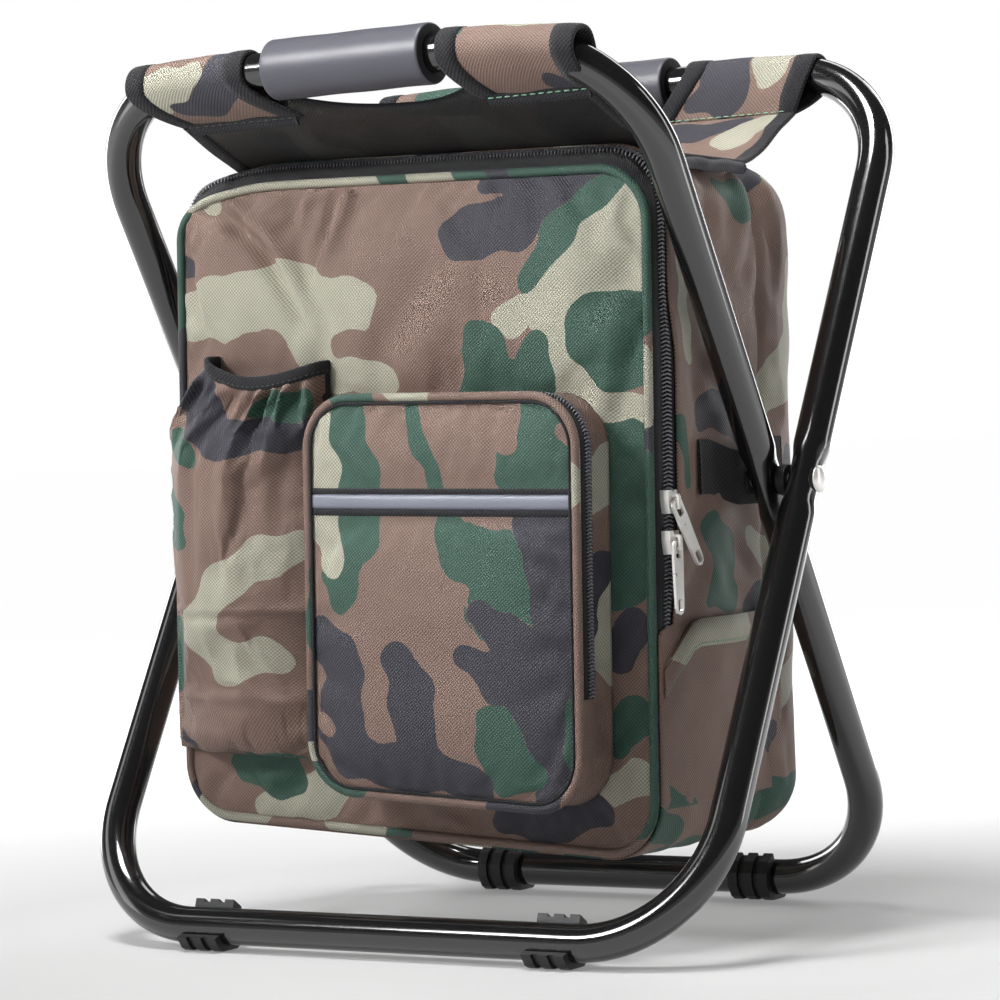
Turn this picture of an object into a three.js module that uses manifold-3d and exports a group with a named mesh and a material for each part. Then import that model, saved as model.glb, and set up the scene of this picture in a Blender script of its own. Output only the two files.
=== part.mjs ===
// Folding cooler stool: two crossed steel loops, a fabric seat sling and an insulated bag hung between them.
// Millimetres, +Z up, +X to the sitter's left as seen from the front, front towards -Y.
// The origin is on the floor under the crossing of the legs.

import * as THREE from 'three';
import { mergeVertices } from 'three/addons/utils/BufferGeometryUtils.js';
import Module from 'manifold-3d';

// Steel frame
const TUBE_DIAMETER = 18;
const TUBE_WALL = 1.2;
const OUTER_LOOP_WIDTH = 350;
const LEG_GAP = 2;
const LEG_ABOVE_PIVOT = 238;
const LEG_BELOW_PIVOT = 240;
const LEAN_DEGREES = 30;
const OUTER_BEND = 64;
const INNER_BEND = 66;
const SEAM_GAP = 1;
const JOINT_SLEEVE_LENGTH = 70;
const JOINT_SLEEVE_WALL = 1.2;

// Riveted crossing, where each tube is pressed flat
const FLAT_THICKNESS = 14.4;
const FLAT_LENGTH = 17;
const FLAT_RUN_OUT = 6;
const SHANK_DIAMETER = 6;
const SHANK_CLEARANCE = 0.3;
const HEAD_DIAMETER = 13;
const HEAD_HEIGHT = 2.6;
const TAIL_DIAMETER = 10.4;
const TAIL_HEIGHT = 2.2;
const SPACER_DIAMETER = 15;
const WASHER_DIAMETER = 14;

// Foam grips and clip-on feet
const GRIP_DIAMETER = 29;
const GRIP_LENGTH = 90;
const GRIP_EDGE = 2;
const FOOT_SOLE = 2.5;
const FOOT_WALL = 2.6;
const FOOT_RIB = 1.5;
const FOOT_RIB_WIDTH = 5.4;
const FOOT_GROOVE = 3.4;
const FOOT_RIBS = 3;
const FOOT_WRAP_DEGREES = 230;
const FOOT_TO_BEND = 0.5;

// Seat sling and the sleeves that hold it on the top rails
const CLOTH = 1.6;
const SLEEVE_DROP = 15;
const FRONT_SLEEVE_WRAP_DEGREES = 34;
const REAR_SLEEVE_WRAP_DEGREES = 21;
const GRIP_TO_SLEEVE = 13;
const SEAT_DIP = 47.5;
const SEAT_FOLD_REACH = 45;
const HAND_CUT_INSET = 3;
const HAND_CUT_DEPTH = 14;

// Insulated bag
const BAG_SIDE_CLEARANCE = 9;
const BAG_FRONT_REACH = 80;
const BAG_REAR_REACH = 75;
const BAG_FLOOR_CLEARANCE = 52;
const BAG_CORNER = 28;
const REAR_TOP_ROUND = 42;
const REAR_BOTTOM_ROUND = 28;
const REAR_SIDE_ROUND = 25;
const REAR_ROUND_DEPTH = 34;
const SHELL_WALL = 1.2;
const FOAM_WALL = 5;
const LINER_WALL = 0.8;
const FRONT_PANEL = 5;
const PIPING_DIAMETER = 4.2;

// Main zip: an arch over the flap, ending at the line where the flap folds down
const ZIP_END_RISE = 104;
const FLAP_TAPE = 5.5;
const BAG_TAPE = 7.9;
const LOWER_SLIDER_RISE = 37;
const SLIDER_LENGTH = 11;
const SLIDER_WIDTH = 9;
const SLIDER_HEIGHT = 4.6;
const SLIDER_GAP = 8;
const BAIL_HEIGHT = 3.6;
const BAIL_BAR = 1.3;
const BAIL_WIDTH = 2;
const PULL_LENGTH = 34;
const PULL_WIDTH = 8.5;
const PULL_THICKNESS = 1.4;
const PULL_BAR = 1.6;
const PULL_TILT_DEGREES = 26;
const PULL_LEAN_DEGREES = 7;

// Zipped front pocket
const POCKET_WIDTH = 150;
const POCKET_HEIGHT = 189;
const POCKET_DEPTH = 32;
const POCKET_SIDE_MARGIN = 23;
const POCKET_BOTTOM_MARGIN = 25;
const POCKET_CORNER = 24;
const POCKET_WALL = 1.2;
const POCKET_EDGE = 3;
const STRIP_HEIGHT = 8;
const STRIP_DROP = 45;
const STRIP_THICKNESS = 0.8;
const POCKET_SLIDER_DROP = 64;
const POCKET_ZIP_SETBACK = 11;
const POCKET_ZIP_SIZE = 0.7;

// Bottle pocket
const BOTTLE_EDGE_INSET = 2;
const BOTTLE_POCKET_GAP = 5;
const BOTTLE_BOTTOM_MARGIN = 34;
const BOTTLE_HEIGHT = 190;
const BOTTLE_BULGE = 27;
const BOTTLE_SEAM_BULGE = 6;
const ELASTIC_HEIGHT = 8;

// Slip pockets on the sides
const SIDE_POCKET_DEPTH = 4;
const SIDE_POCKET_SLANT = 24;
const SIDE_POCKET_HEIGHT = 80;

// Webbing bands at the pivots
const BAND_HEIGHT = 26;
const BAND_REACH = 40;
const BAND_STAND_OFF = 7.2;
const BAND_FLAT = 18;

// Shoulder straps on the back
const STRAP_SPACING = 122;
const PAD_WIDTH = 52;
const PAD_LENGTH = 150;
const PAD_THICKNESS = 8;
const PAD_TOP_MARGIN = 48;
const STRAP_WIDTH = 25;
const STRAP_THICKNESS = 1.5;
const STRAP_TAIL = 60;
const BUCKLE_WIDTH = 36;
const BUCKLE_HEIGHT = 26;
const BUCKLE_THICKNESS = 5;
const BUCKLE_BAR = 4;

// Space left between pieces that touch, and the fineness of round forms
const SEAT_GAP = 0.3;
const TUBE_SIDES = 12;
const BEND_STEPS = 6;
const ROUND_STEPS = 16;
const CORNER_STEPS = 4;
const CORD_SIDES = 6;
const MERGE_TOLERANCE = 1e-4;

// Sizes that follow from the ones above
const LEAN = THREE.MathUtils.degToRad(LEAN_DEGREES);
const TUBE_RADIUS = TUBE_DIAMETER / 2;
const TUBE_BORE = TUBE_RADIUS - TUBE_WALL;
const LEG_PITCH = TUBE_DIAMETER + LEG_GAP;
const INNER_LOOP_WIDTH = OUTER_LOOP_WIDTH - 2 * LEG_PITCH;
const BOTTOM_RAIL_HEIGHT = FOOT_SOLE + TUBE_RADIUS;
const PIVOT_HEIGHT = BOTTOM_RAIL_HEIGHT + LEG_BELOW_PIVOT * Math.cos(LEAN);
const TOP_RAIL_HEIGHT = PIVOT_HEIGHT + LEG_ABOVE_PIVOT * Math.cos(LEAN);
const TOP_RAIL_REACH = LEG_ABOVE_PIVOT * Math.sin(LEAN);
const BOTTOM_RAIL_REACH = LEG_BELOW_PIVOT * Math.sin(LEAN);
const CLIP_RADIUS = TUBE_RADIUS + SEAT_GAP;
const FOOT_LENGTH = FOOT_RIBS * (FOOT_RIB_WIDTH + FOOT_GROOVE) - FOOT_GROOVE;
const FRONT_FOOT_PLACE = OUTER_LOOP_WIDTH / 2 - OUTER_BEND - FOOT_LENGTH / 2 - FOOT_TO_BEND;
const REAR_FOOT_PLACE = INNER_LOOP_WIDTH / 2 - INNER_BEND - FOOT_LENGTH / 2 - FOOT_TO_BEND;
const SLEEVE_RADIUS = CLIP_RADIUS + CLOTH;
const SLEEVE_START = GRIP_LENGTH / 2 + GRIP_TO_SLEEVE;
const sleeveEnd = (width, bend, wrap) => width / 2 - bend + bend * Math.sin(THREE.MathUtils.degToRad(wrap));
const FRONT_SLEEVE_END = sleeveEnd(INNER_LOOP_WIDTH, INNER_BEND, FRONT_SLEEVE_WRAP_DEGREES);
const REAR_SLEEVE_END = sleeveEnd(OUTER_LOOP_WIDTH, OUTER_BEND, REAR_SLEEVE_WRAP_DEGREES);
const BAG_HALF = INNER_LOOP_WIDTH / 2 - TUBE_RADIUS - BAG_SIDE_CLEARANCE;
const BAG_TOP = TOP_RAIL_HEIGHT - SEAT_DIP;
const BAG_BOTTOM = BAG_FLOOR_CLEARANCE;
const PANEL_BACK = -BAG_FRONT_REACH + FRONT_PANEL;
const TUB_FRONT = PANEL_BACK + SEAT_GAP;
const FLAP_TAPE_BACK = TUB_FRONT + FLAP_TAPE;
const BAG_TAPE_FRONT = FLAP_TAPE_BACK + SEAT_GAP;
const BAG_TAPE_BACK = BAG_TAPE_FRONT + BAG_TAPE;
const ZIP_END = BAG_BOTTOM + ZIP_END_RISE;
const POCKET_RIGHT = BAG_HALF - POCKET_SIDE_MARGIN;
const POCKET_LEFT = POCKET_RIGHT - POCKET_WIDTH;
const POCKET_LOW = BAG_BOTTOM + POCKET_BOTTOM_MARGIN;
const POCKET_HIGH = POCKET_LOW + POCKET_HEIGHT;
const POCKET_BACK = -BAG_FRONT_REACH - SEAT_GAP;
const POCKET_FRONT = -BAG_FRONT_REACH - POCKET_DEPTH;

const LOOKS = {
  steel: { color: 0x0e0e10, roughness: 0.22, metalness: 0.6 },
  zinc: { color: 0xc9c8c4, roughness: 0.25, metalness: 1 },
  grip: { color: 0x4b4c54, roughness: 0.6, metalness: 0 },
  plastic: { color: 0x141416, roughness: 0.5, metalness: 0 },
  camouflage: { color: 0x6a5a48, roughness: 0.85, metalness: 0 },
  piping: { color: 0x3f4a36, roughness: 0.8, metalness: 0 },
  webbing: { color: 0x1a1a1c, roughness: 0.9, metalness: 0 },
  foam: { color: 0xe8e8e4, roughness: 0.95, metalness: 0 },
  foil: { color: 0xc8ccd0, roughness: 0.35, metalness: 0.8 },
  reflective: { color: 0xa6a6b4, roughness: 0.4, metalness: 0.2 },
};

const wasm = await Module();
wasm.setup();

// Gives a geometry shared corners, drops empty faces and turns the faces outwards
function closed(geometry) {
  const bare = geometry.index ? geometry.toNonIndexed() : geometry.clone();
  bare.deleteAttribute('normal');
  bare.deleteAttribute('uv');
  const merged = mergeVertices(bare, MERGE_TOLERANCE);
  const position = merged.getAttribute('position');
  const source = merged.index.array;
  const [a, b, c] = [new THREE.Vector3(), new THREE.Vector3(), new THREE.Vector3()];
  const corners = [];
  let volume = 0;
  for (let i = 0; i < source.length; i += 3) {
    const [p, q, r] = [source[i], source[i + 1], source[i + 2]];
    if (p === q || q === r || r === p) continue;
    corners.push(p, q, r);
    a.fromBufferAttribute(position, p);
    b.fromBufferAttribute(position, q);
    c.fromBufferAttribute(position, r);
    volume += a.dot(b.cross(c));
  }
  if (volume < 0) corners.reverse();
  merged.setIndex(corners);
  return merged;
}

function solidOf(geometry) {
  const mesh = closed(geometry);
  const vertProperties = new Float32Array(mesh.getAttribute('position').array);
  const triVerts = new Uint32Array(mesh.index.array);
  return new wasm.Manifold(new wasm.Mesh({ numProp: 3, vertProperties, triVerts }));
}

function geometryOf(solid) {
  const mesh = solid.getMesh();
  const geometry = new THREE.BufferGeometry();
  geometry.setAttribute('position', new THREE.BufferAttribute(mesh.vertProperties, 3));
  geometry.setIndex(new THREE.BufferAttribute(mesh.triVerts, 1));
  return geometry;
}

function cut(geometry, ...tools) {
  return geometryOf(tools.reduce((rest, tool) => rest.subtract(solidOf(tool)), solidOf(geometry)));
}

function join(geometry, ...others) {
  return geometryOf(others.reduce((whole, other) => whole.add(solidOf(other)), solidOf(geometry)));
}

function addPart(parent, name, geometry, look) {
  const mesh = new THREE.Mesh(closed(geometry), new THREE.MeshStandardMaterial(look));
  mesh.geometry.computeVertexNormals();
  mesh.name = name;
  parent.add(mesh);
}

// Extrudes a profile drawn in the plane across X, Y or Z between two places on that axis
function alongZ(shape, from, to) {
  const geometry = new THREE.ExtrudeGeometry(shape, { depth: to - from, bevelEnabled: false });
  return geometry.translate(0, 0, from);
}

function alongY(shape, from, to) {
  const geometry = new THREE.ExtrudeGeometry(shape, { depth: to - from, bevelEnabled: false });
  return geometry.rotateX(Math.PI / 2).translate(0, to, 0);
}

function alongX(shape, from, to) {
  const geometry = new THREE.ExtrudeGeometry(shape, { depth: to - from, bevelEnabled: false });
  const turn = new THREE.Matrix4().set(0, 0, 1, 0, 1, 0, 0, 0, 0, 1, 0, 0, 0, 0, 0, 1);
  return geometry.applyMatrix4(turn).translate(from, 0, 0);
}

function box(x0, x1, y0, y1, z0, z1) {
  const geometry = new THREE.BoxGeometry(x1 - x0, y1 - y0, z1 - z0);
  return geometry.translate((x0 + x1) / 2, (y0 + y1) / 2, (z0 + z1) / 2);
}

function rodAlongX(radius, x0, x1, sides) {
  const geometry = new THREE.CylinderGeometry(radius, radius, x1 - x0, sides);
  return geometry.rotateZ(Math.PI / 2).translate((x0 + x1) / 2, 0, 0);
}

// Turns a profile of (radius, place) pairs about the X axis
function lathedAlongX(profile, steps) {
  const points = profile.map(([radius, place]) => new THREE.Vector2(radius, place));
  return new THREE.LatheGeometry(points, steps).rotateZ(-Math.PI / 2);
}

function tubeAlongX(outer, inner, x0, x1, edge, steps) {
  return lathedAlongX([[inner, x0], [outer - edge, x0], [outer, x0 + edge], [outer, x1 - edge],
    [outer - edge, x1], [inner, x1], [inner, x0]], steps);
}

// Points of a round stretch, in degrees counted from +X towards the second axis
function arc(cx, cy, radius, from, to, steps) {
  return Array.from({ length: steps + 1 }, (_, i) => {
    const angle = THREE.MathUtils.degToRad(from + ((to - from) * i) / steps);
    return new THREE.Vector2(cx + radius * Math.cos(angle), cy + radius * Math.sin(angle));
  });
}

function circle(radius, sides) {
  return arc(0, 0, radius, 0, 360, sides).slice(0, -1);
}

function shapeOf(outline, ...holes) {
  const shape = new THREE.Shape(outline);
  shape.holes = holes.map((hole) => new THREE.Path(hole));
  return shape;
}

// Outline of a rectangle with its own radius at the top and at the bottom corners
function roundedRect(left, right, low, high, topRadius, bottomRadius, steps = CORNER_STEPS) {
  const corner = (x, y, radius, from) => (
    radius > 0 ? arc(x, y, radius, from, from + 90, steps) : [new THREE.Vector2(x, y)]
  );
  return [
    ...corner(right - bottomRadius, low + bottomRadius, bottomRadius, 270),
    ...corner(right - topRadius, high - topRadius, topRadius, 0),
    ...corner(left + topRadius, high - topRadius, topRadius, 90),
    ...corner(left + bottomRadius, low + bottomRadius, bottomRadius, 180),
  ];
}

// Arch from the left foot, over both top corners, to the right foot
function archPoints(half, low, high, radius) {
  return [
    new THREE.Vector2(-half, low),
    ...arc(-half + radius, high - radius, radius, 180, 90, CORNER_STEPS),
    ...arc(half - radius, high - radius, radius, 90, 0, CORNER_STEPS),
    new THREE.Vector2(half, low),
  ];
}

// Strip of even thickness along a bent line
function stripShape(points, thickness) {
  const steps = points.slice(1).map((p, i) => p.clone().sub(points[i]).normalize());
  const side = (sign) => points.map((p, i) => {
    const before = steps[Math.max(i - 1, 0)];
    const after = steps[Math.min(i, steps.length - 1)];
    const middle = before.clone().add(after).normalize();
    const reach = (sign * thickness) / 2 / middle.dot(after);
    return new THREE.Vector2(p.x - middle.y * reach, p.y + middle.x * reach);
  });
  return new THREE.Shape([...side(-1), ...side(1).reverse()]);
}

// Path in the XZ plane whose section keeps its first axis to the right of travel and its second along Y
class FlatPath extends THREE.Curve {
  constructor(points) {
    super();
    this.points = points.map((p) => new THREE.Vector3(p.x, 0, p.y));
  }

  getSpacedPoints() {
    return this.points;
  }

  computeFrenetFrames() {
    const steps = this.points.slice(1).map((p, i) => p.clone().sub(this.points[i]).normalize());
    const tangents = this.points.map((_, i) => {
      const before = steps[Math.max(i - 1, 0)];
      const after = steps[Math.min(i, steps.length - 1)];
      return before.clone().add(after).normalize();
    });
    const normals = tangents.map((t) => new THREE.Vector3(t.z, 0, -t.x));
    const binormals = tangents.map(() => new THREE.Vector3(0, 1, 0));
    return { tangents, normals, binormals };
  }
}

function sweep(shape, points) {
  return new THREE.ExtrudeGeometry(shape, { steps: points.length - 1, extrudePath: new FlatPath(points) });
}

// Skins a stack of matching rings and closes both ends; flat gives a corner's place within its ring
function loft(rings, flat) {
  const count = rings[0].length;
  const last = (rings.length - 1) * count;
  const faces = [];
  for (let start = 0; start < last; start += count) {
    for (let i = 0; i < count; i += 1) {
      const [p, q] = [start + i, start + ((i + 1) % count)];
      faces.push(p, q, q + count, p, q + count, p + count);
    }
  }
  const cap = (ring) => THREE.ShapeUtils.triangulateShape(ring.map(flat), [])
    .map((corners) => corners.sort((p, q) => p - q));
  cap(rings[0]).forEach(([p, q, r]) => faces.push(r, q, p));
  cap(rings[rings.length - 1]).forEach(([p, q, r]) => faces.push(last + p, last + q, last + r));
  const geometry = new THREE.BufferGeometry();
  const places = rings.flat().flatMap((p) => p.toArray());
  geometry.setAttribute('position', new THREE.Float32BufferAttribute(places, 3));
  geometry.setIndex(faces);
  return geometry;
}

const onY = (p) => new THREE.Vector2(p.x, p.z);
const onZ = (p) => new THREE.Vector2(p.x, p.y);

// Steel loop in its own plane, with the pivot at its origin and the butt seam in the middle of the top rail
function loopPoints(width, bend) {
  const half = width / 2;
  const side = half - bend;
  const top = LEG_ABOVE_PIVOT - bend;
  const bottom = bend - LEG_BELOW_PIVOT;
  const flat = FLAT_LENGTH / 2;
  const stations = [flat + FLAT_RUN_OUT, flat, -flat, -flat - FLAT_RUN_OUT];
  return [
    new THREE.Vector2(SEAM_GAP / 2, LEG_ABOVE_PIVOT),
    ...arc(side, top, bend, 90, 0, BEND_STEPS),
    ...stations.map((z) => new THREE.Vector2(half, z)),
    ...arc(side, bottom, bend, 0, -90, BEND_STEPS),
    ...arc(-side, bottom, bend, -90, -180, BEND_STEPS),
    ...stations.map((z) => new THREE.Vector2(-half, -z)),
    ...arc(-side, top, bend, 180, 90, BEND_STEPS),
    new THREE.Vector2(-SEAM_GAP / 2, LEG_ABOVE_PIVOT),
  ];
}

// Presses both legs flat around the pivot
function flattenLegs(geometry, half) {
  const position = geometry.getAttribute('position');
  for (let i = 0; i < position.count; i += 1) {
    const past = Math.abs(position.getZ(i)) - FLAT_LENGTH / 2;
    const press = THREE.MathUtils.clamp(1 - past / FLAT_RUN_OUT, 0, 1);
    const narrow = 1 - (1 - FLAT_THICKNESS / TUBE_DIAMETER) * press;
    const leg = Math.sign(position.getX(i)) * half;
    position.setX(i, leg + (position.getX(i) - leg) * narrow);
  }
  return geometry;
}

function steelLoop(width, bend) {
  const half = width / 2;
  const section = shapeOf(circle(TUBE_RADIUS, TUBE_SIDES), circle(TUBE_BORE, TUBE_SIDES));
  const points = loopPoints(width, bend);
  const legsOnly = sweep(section, points);
  const holeRadius = SHANK_DIAMETER / 2 + SHANK_CLEARANCE;
  const hole = (sign) => rodAlongX(holeRadius, -TUBE_RADIUS, TUBE_RADIUS, ROUND_STEPS / 2)
    .translate(sign * half, 0, 0);
  return cut(flattenLegs(closed(legsOnly), half), hole(1), hole(-1));
}

// Short tube inside the top rail that joins the two ends of the loop
function jointSleeve() {
  const outer = TUBE_BORE * Math.cos(Math.PI / TUBE_SIDES) - SEAT_GAP;
  const half = JOINT_SLEEVE_LENGTH / 2;
  return tubeAlongX(outer, outer - JOINT_SLEEVE_WALL, -half, half, 0, TUBE_SIDES)
    .translate(0, 0, LEG_ABOVE_PIVOT);
}

function foamGrip() {
  const half = GRIP_LENGTH / 2;
  return tubeAlongX(GRIP_DIAMETER / 2, CLIP_RADIUS, -half, half, GRIP_EDGE, ROUND_STEPS)
    .translate(0, 0, LEG_ABOVE_PIVOT);
}

// Loose cloth loop round the rail, long enough inwards to take in the start of the bend
function railSleeve(outerEnd, sign) {
  const loop = (radius) => [
    ...arc(0, 0, radius, 0, 180, ROUND_STEPS / 2),
    ...arc(0, -SLEEVE_DROP, radius, 180, 360, ROUND_STEPS / 2),
  ];
  const sleeve = alongX(shapeOf(loop(SLEEVE_RADIUS), loop(CLIP_RADIUS)), SLEEVE_START, outerEnd);
  return sleeve.scale(sign, 1, 1).translate(0, 0, LEG_ABOVE_PIVOT);
}

// Places along X of the riveted stack on one side, from the bag outwards
const BAND_INNER_FACE = BAG_HALF + BAND_STAND_OFF;
const BAND_OUTER_FACE = BAND_INNER_FACE + CLOTH;
const INNER_LEG_FACE = INNER_LOOP_WIDTH / 2 - FLAT_THICKNESS / 2;
const OUTER_LEG_FACE = OUTER_LOOP_WIDTH / 2 + FLAT_THICKNESS / 2;

function rivet() {
  const shank = SHANK_DIAMETER / 2;
  const tail = BAND_INNER_FACE - SEAT_GAP;
  const head = OUTER_LEG_FACE + SEAT_GAP;
  return lathedAlongX([
    [0, tail - TAIL_HEIGHT], [0.35 * TAIL_DIAMETER, tail - TAIL_HEIGHT],
    [TAIL_DIAMETER / 2, tail - TAIL_HEIGHT / 2], [TAIL_DIAMETER / 2, tail],
    [shank, tail], [shank, head], [HEAD_DIAMETER / 2, head],
    [0.9 * HEAD_DIAMETER / 2, head + 0.5 * HEAD_HEIGHT], [0.5 * HEAD_DIAMETER / 2, head + 0.9 * HEAD_HEIGHT],
    [0, head + HEAD_HEIGHT],
  ], ROUND_STEPS);
}

function ring(diameter, x0, x1) {
  return tubeAlongX(diameter / 2, SHANK_DIAMETER / 2 + SHANK_CLEARANCE, x0, x1, 0.3, ROUND_STEPS);
}

function legSpacer() {
  const face = INNER_LOOP_WIDTH / 2 + FLAT_THICKNESS / 2;
  return ring(SPACER_DIAMETER, face + SEAT_GAP, face + LEG_PITCH - FLAT_THICKNESS - SEAT_GAP);
}

// Webbing band sewn to the bag fore and aft of the pivot and held out by the rivet in its middle
function pivotBand() {
  const seat = BAG_HALF + SEAT_GAP + CLOTH / 2;
  const stand = (BAND_INNER_FACE + BAND_OUTER_FACE) / 2;
  const tab = BAND_REACH * 0.7;
  const line = [[seat, -BAND_REACH], [seat, -tab], [stand, -BAND_FLAT / 2],
    [stand, BAND_FLAT / 2], [seat, tab], [seat, BAND_REACH]];
  const strip = stripShape(line.map(([x, y]) => new THREE.Vector2(x, y)), CLOTH);
  const hole = rodAlongX(SHANK_DIAMETER / 2 + SHANK_CLEARANCE, BAG_HALF, INNER_LEG_FACE, ROUND_STEPS / 2);
  return cut(alongZ(strip, -BAND_HEIGHT / 2, BAND_HEIGHT / 2), hole);
}

// C-shaped clip with a flat sole and ribs across it; the open side faces up and out
function footClip(facing) {
  const middle = facing > 0 ? 45 : 135;
  const from = middle + (360 - FOOT_WRAP_DEGREES) / 2;
  const clip = (radius) => new THREE.Shape([
    ...arc(0, 0, radius, from, from + FOOT_WRAP_DEGREES, ROUND_STEPS / 2),
    ...arc(0, 0, CLIP_RADIUS, from + FOOT_WRAP_DEGREES, from, ROUND_STEPS / 2),
  ]);
  const pitch = FOOT_RIB_WIDTH + FOOT_GROOVE;
  const half = FOOT_LENGTH / 2;
  const base = CLIP_RADIUS + FOOT_WALL;
  const ribs = Array.from({ length: FOOT_RIBS }, (_, i) => (
    alongX(clip(base + FOOT_RIB), -half + i * pitch, -half + i * pitch + FOOT_RIB_WIDTH)
  ));
  const reach = base + FOOT_RIB;
  const floor = box(-half - 1, half + 1, -reach - 1, reach + 1, -reach - 1, -BOTTOM_RAIL_HEIGHT);
  return cut(join(alongX(clip(base), -half, half), ...ribs), floor);
}

// Cloth from the front sleeves down to the bag's top, across it and up to the rear sleeves
function seatSling() {
  const seat = BAG_TOP + SEAT_GAP + CLOTH / 2;
  const low = new THREE.Vector2(
    -TOP_RAIL_REACH + SLEEVE_DROP * Math.sin(LEAN),
    TOP_RAIL_HEIGHT - SLEEVE_DROP * Math.cos(LEAN),
  );
  const fold = new THREE.Vector2(-SEAT_FOLD_REACH, seat);
  const start = fold.clone().sub(low).setLength(SLEEVE_RADIUS + SEAT_GAP).add(low);
  const mirrored = (p) => new THREE.Vector2(-p.x, p.y);
  const strip = stripShape([start, fold, mirrored(fold), mirrored(start)], CLOTH);
  const cloth = alongX(strip, -FRONT_SLEEVE_END, FRONT_SLEEVE_END);
  const notch = new THREE.Shape(arc(0, 0, 1, 0, 360, ROUND_STEPS).slice(0, -1));
  const handCut = (end) => alongZ(notch, seat - CLOTH, TOP_RAIL_HEIGHT)
    .scale(SLEEVE_START - HAND_CUT_INSET, HAND_CUT_DEPTH, 1).translate(0, end, 0);
  return cut(cloth, handCut(start.x), handCut(-start.x));
}

// Rings of the bag's surface at a depth below its cloth, from the mouth to the back
function bagRings(depth) {
  const [half, corner] = [BAG_HALF - depth, BAG_CORNER - depth];
  const ringAt = (y, bend) => {
    const side = (REAR_SIDE_ROUND - depth) * bend;
    const radius = Math.max(corner - side, 2);
    const low = BAG_BOTTOM + depth + (REAR_BOTTOM_ROUND - depth) * bend;
    const high = BAG_TOP - depth - (REAR_TOP_ROUND - depth) * bend;
    return roundedRect(side - half, half - side, low, high, radius, radius)
      .map((p) => new THREE.Vector3(p.x, y, p.y));
  };
  const back = BAG_REAR_REACH - depth;
  const round = REAR_ROUND_DEPTH - depth;
  const turn = arc(0, 0, 1, 0, 90, CORNER_STEPS);
  return [ringAt(TUB_FRONT, 0), ...turn.map((p) => ringAt(back - round * (1 - p.y), 1 - p.x))];
}

function tub(depth, wall) {
  return loft([...bagRings(depth + wall).reverse(), ...bagRings(depth)], onY);
}

// Outer cloth of the bag: it reaches the front panel below the zip's ends and stops at the zip above them
function bagShell() {
  const zipSpace = box(-BAG_HALF - 1, BAG_HALF + 1, TUB_FRONT - 1, BAG_TAPE_BACK + SEAT_GAP,
    ZIP_END - SEAT_GAP, BAG_TOP + 1);
  return cut(tub(0, SHELL_WALL), zipSpace);
}

function zipTape(from, to) {
  const outer = archPoints(BAG_HALF, ZIP_END, BAG_TOP, BAG_CORNER);
  const inner = archPoints(BAG_HALF - SHELL_WALL, ZIP_END, BAG_TOP - SHELL_WALL, BAG_CORNER - SHELL_WALL);
  return alongY(new THREE.Shape([...outer, ...inner.reverse()]), from, to);
}

// The front of the bag, above and below the fold line, inside its piping
const PANEL_INSET = PIPING_DIAMETER + SEAT_GAP;

function frontPanel(low, high, topRadius, bottomRadius) {
  const half = BAG_HALF - PANEL_INSET;
  return alongY(new THREE.Shape(roundedRect(-half, half, low, high, topRadius, bottomRadius)),
    -BAG_FRONT_REACH, PANEL_BACK);
}

function cordAlong(points, y) {
  return sweep(new THREE.Shape(circle(PIPING_DIAMETER / 2, CORD_SIDES)), points).translate(0, y, 0);
}

function flapPiping() {
  const inset = PIPING_DIAMETER / 2;
  return cordAlong(archPoints(BAG_HALF - inset, ZIP_END + SEAT_GAP / 2, BAG_TOP - inset, BAG_CORNER - inset),
    PANEL_BACK - inset);
}

function panelPiping() {
  const inset = PIPING_DIAMETER / 2;
  const top = -ZIP_END + SEAT_GAP / 2;
  const upsideDown = archPoints(BAG_HALF - inset, top, -BAG_BOTTOM - inset, BAG_CORNER - inset);
  return cordAlong(upsideDown.map((p) => new THREE.Vector2(p.x, -p.y)), PANEL_BACK - inset);
}

// Zipped pocket on the front: a face and a gusset, open only where it is sewn to the bag
function pocketRing(inset, y) {
  const radius = POCKET_CORNER - inset;
  const [left, right] = [POCKET_LEFT + inset, POCKET_RIGHT - inset];
  return roundedRect(left, right, POCKET_LOW + inset, POCKET_HIGH - inset, radius, radius)
    .map((p) => new THREE.Vector3(p.x, y, p.y));
}

function frontPocket() {
  return loft([
    pocketRing(POCKET_EDGE + POCKET_WALL, POCKET_FRONT + POCKET_WALL),
    pocketRing(POCKET_WALL, POCKET_FRONT + POCKET_EDGE + POCKET_WALL),
    pocketRing(POCKET_WALL, POCKET_BACK),
    pocketRing(0, POCKET_BACK),
    pocketRing(0, POCKET_FRONT + POCKET_EDGE),
    pocketRing(POCKET_EDGE, POCKET_FRONT),
  ], onY);
}

// Piping round the pocket's face, in the edge between face and gusset, with its ends meeting at the bottom
function pocketPiping() {
  const seat = PIPING_DIAMETER / 2 + SEAT_GAP - POCKET_EDGE / 2;
  const outline = roundedRect(POCKET_LEFT - seat, POCKET_RIGHT + seat, POCKET_LOW - seat, POCKET_HIGH + seat,
    POCKET_CORNER + seat, POCKET_CORNER + seat);
  const middle = (POCKET_LEFT + POCKET_RIGHT) / 2;
  const meet = (sign) => new THREE.Vector2(middle + sign * SEAT_GAP, POCKET_LOW - seat);
  return cordAlong([meet(1), ...outline, meet(-1)], POCKET_FRONT + POCKET_EDGE / 2 - seat);
}

function reflectiveStrip() {
  const high = POCKET_HIGH - STRIP_DROP;
  return box(POCKET_LEFT + POCKET_EDGE, POCKET_RIGHT - POCKET_EDGE, POCKET_FRONT - SEAT_GAP - STRIP_THICKNESS,
    POCKET_FRONT - SEAT_GAP, high - STRIP_HEIGHT, high);
}

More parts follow.
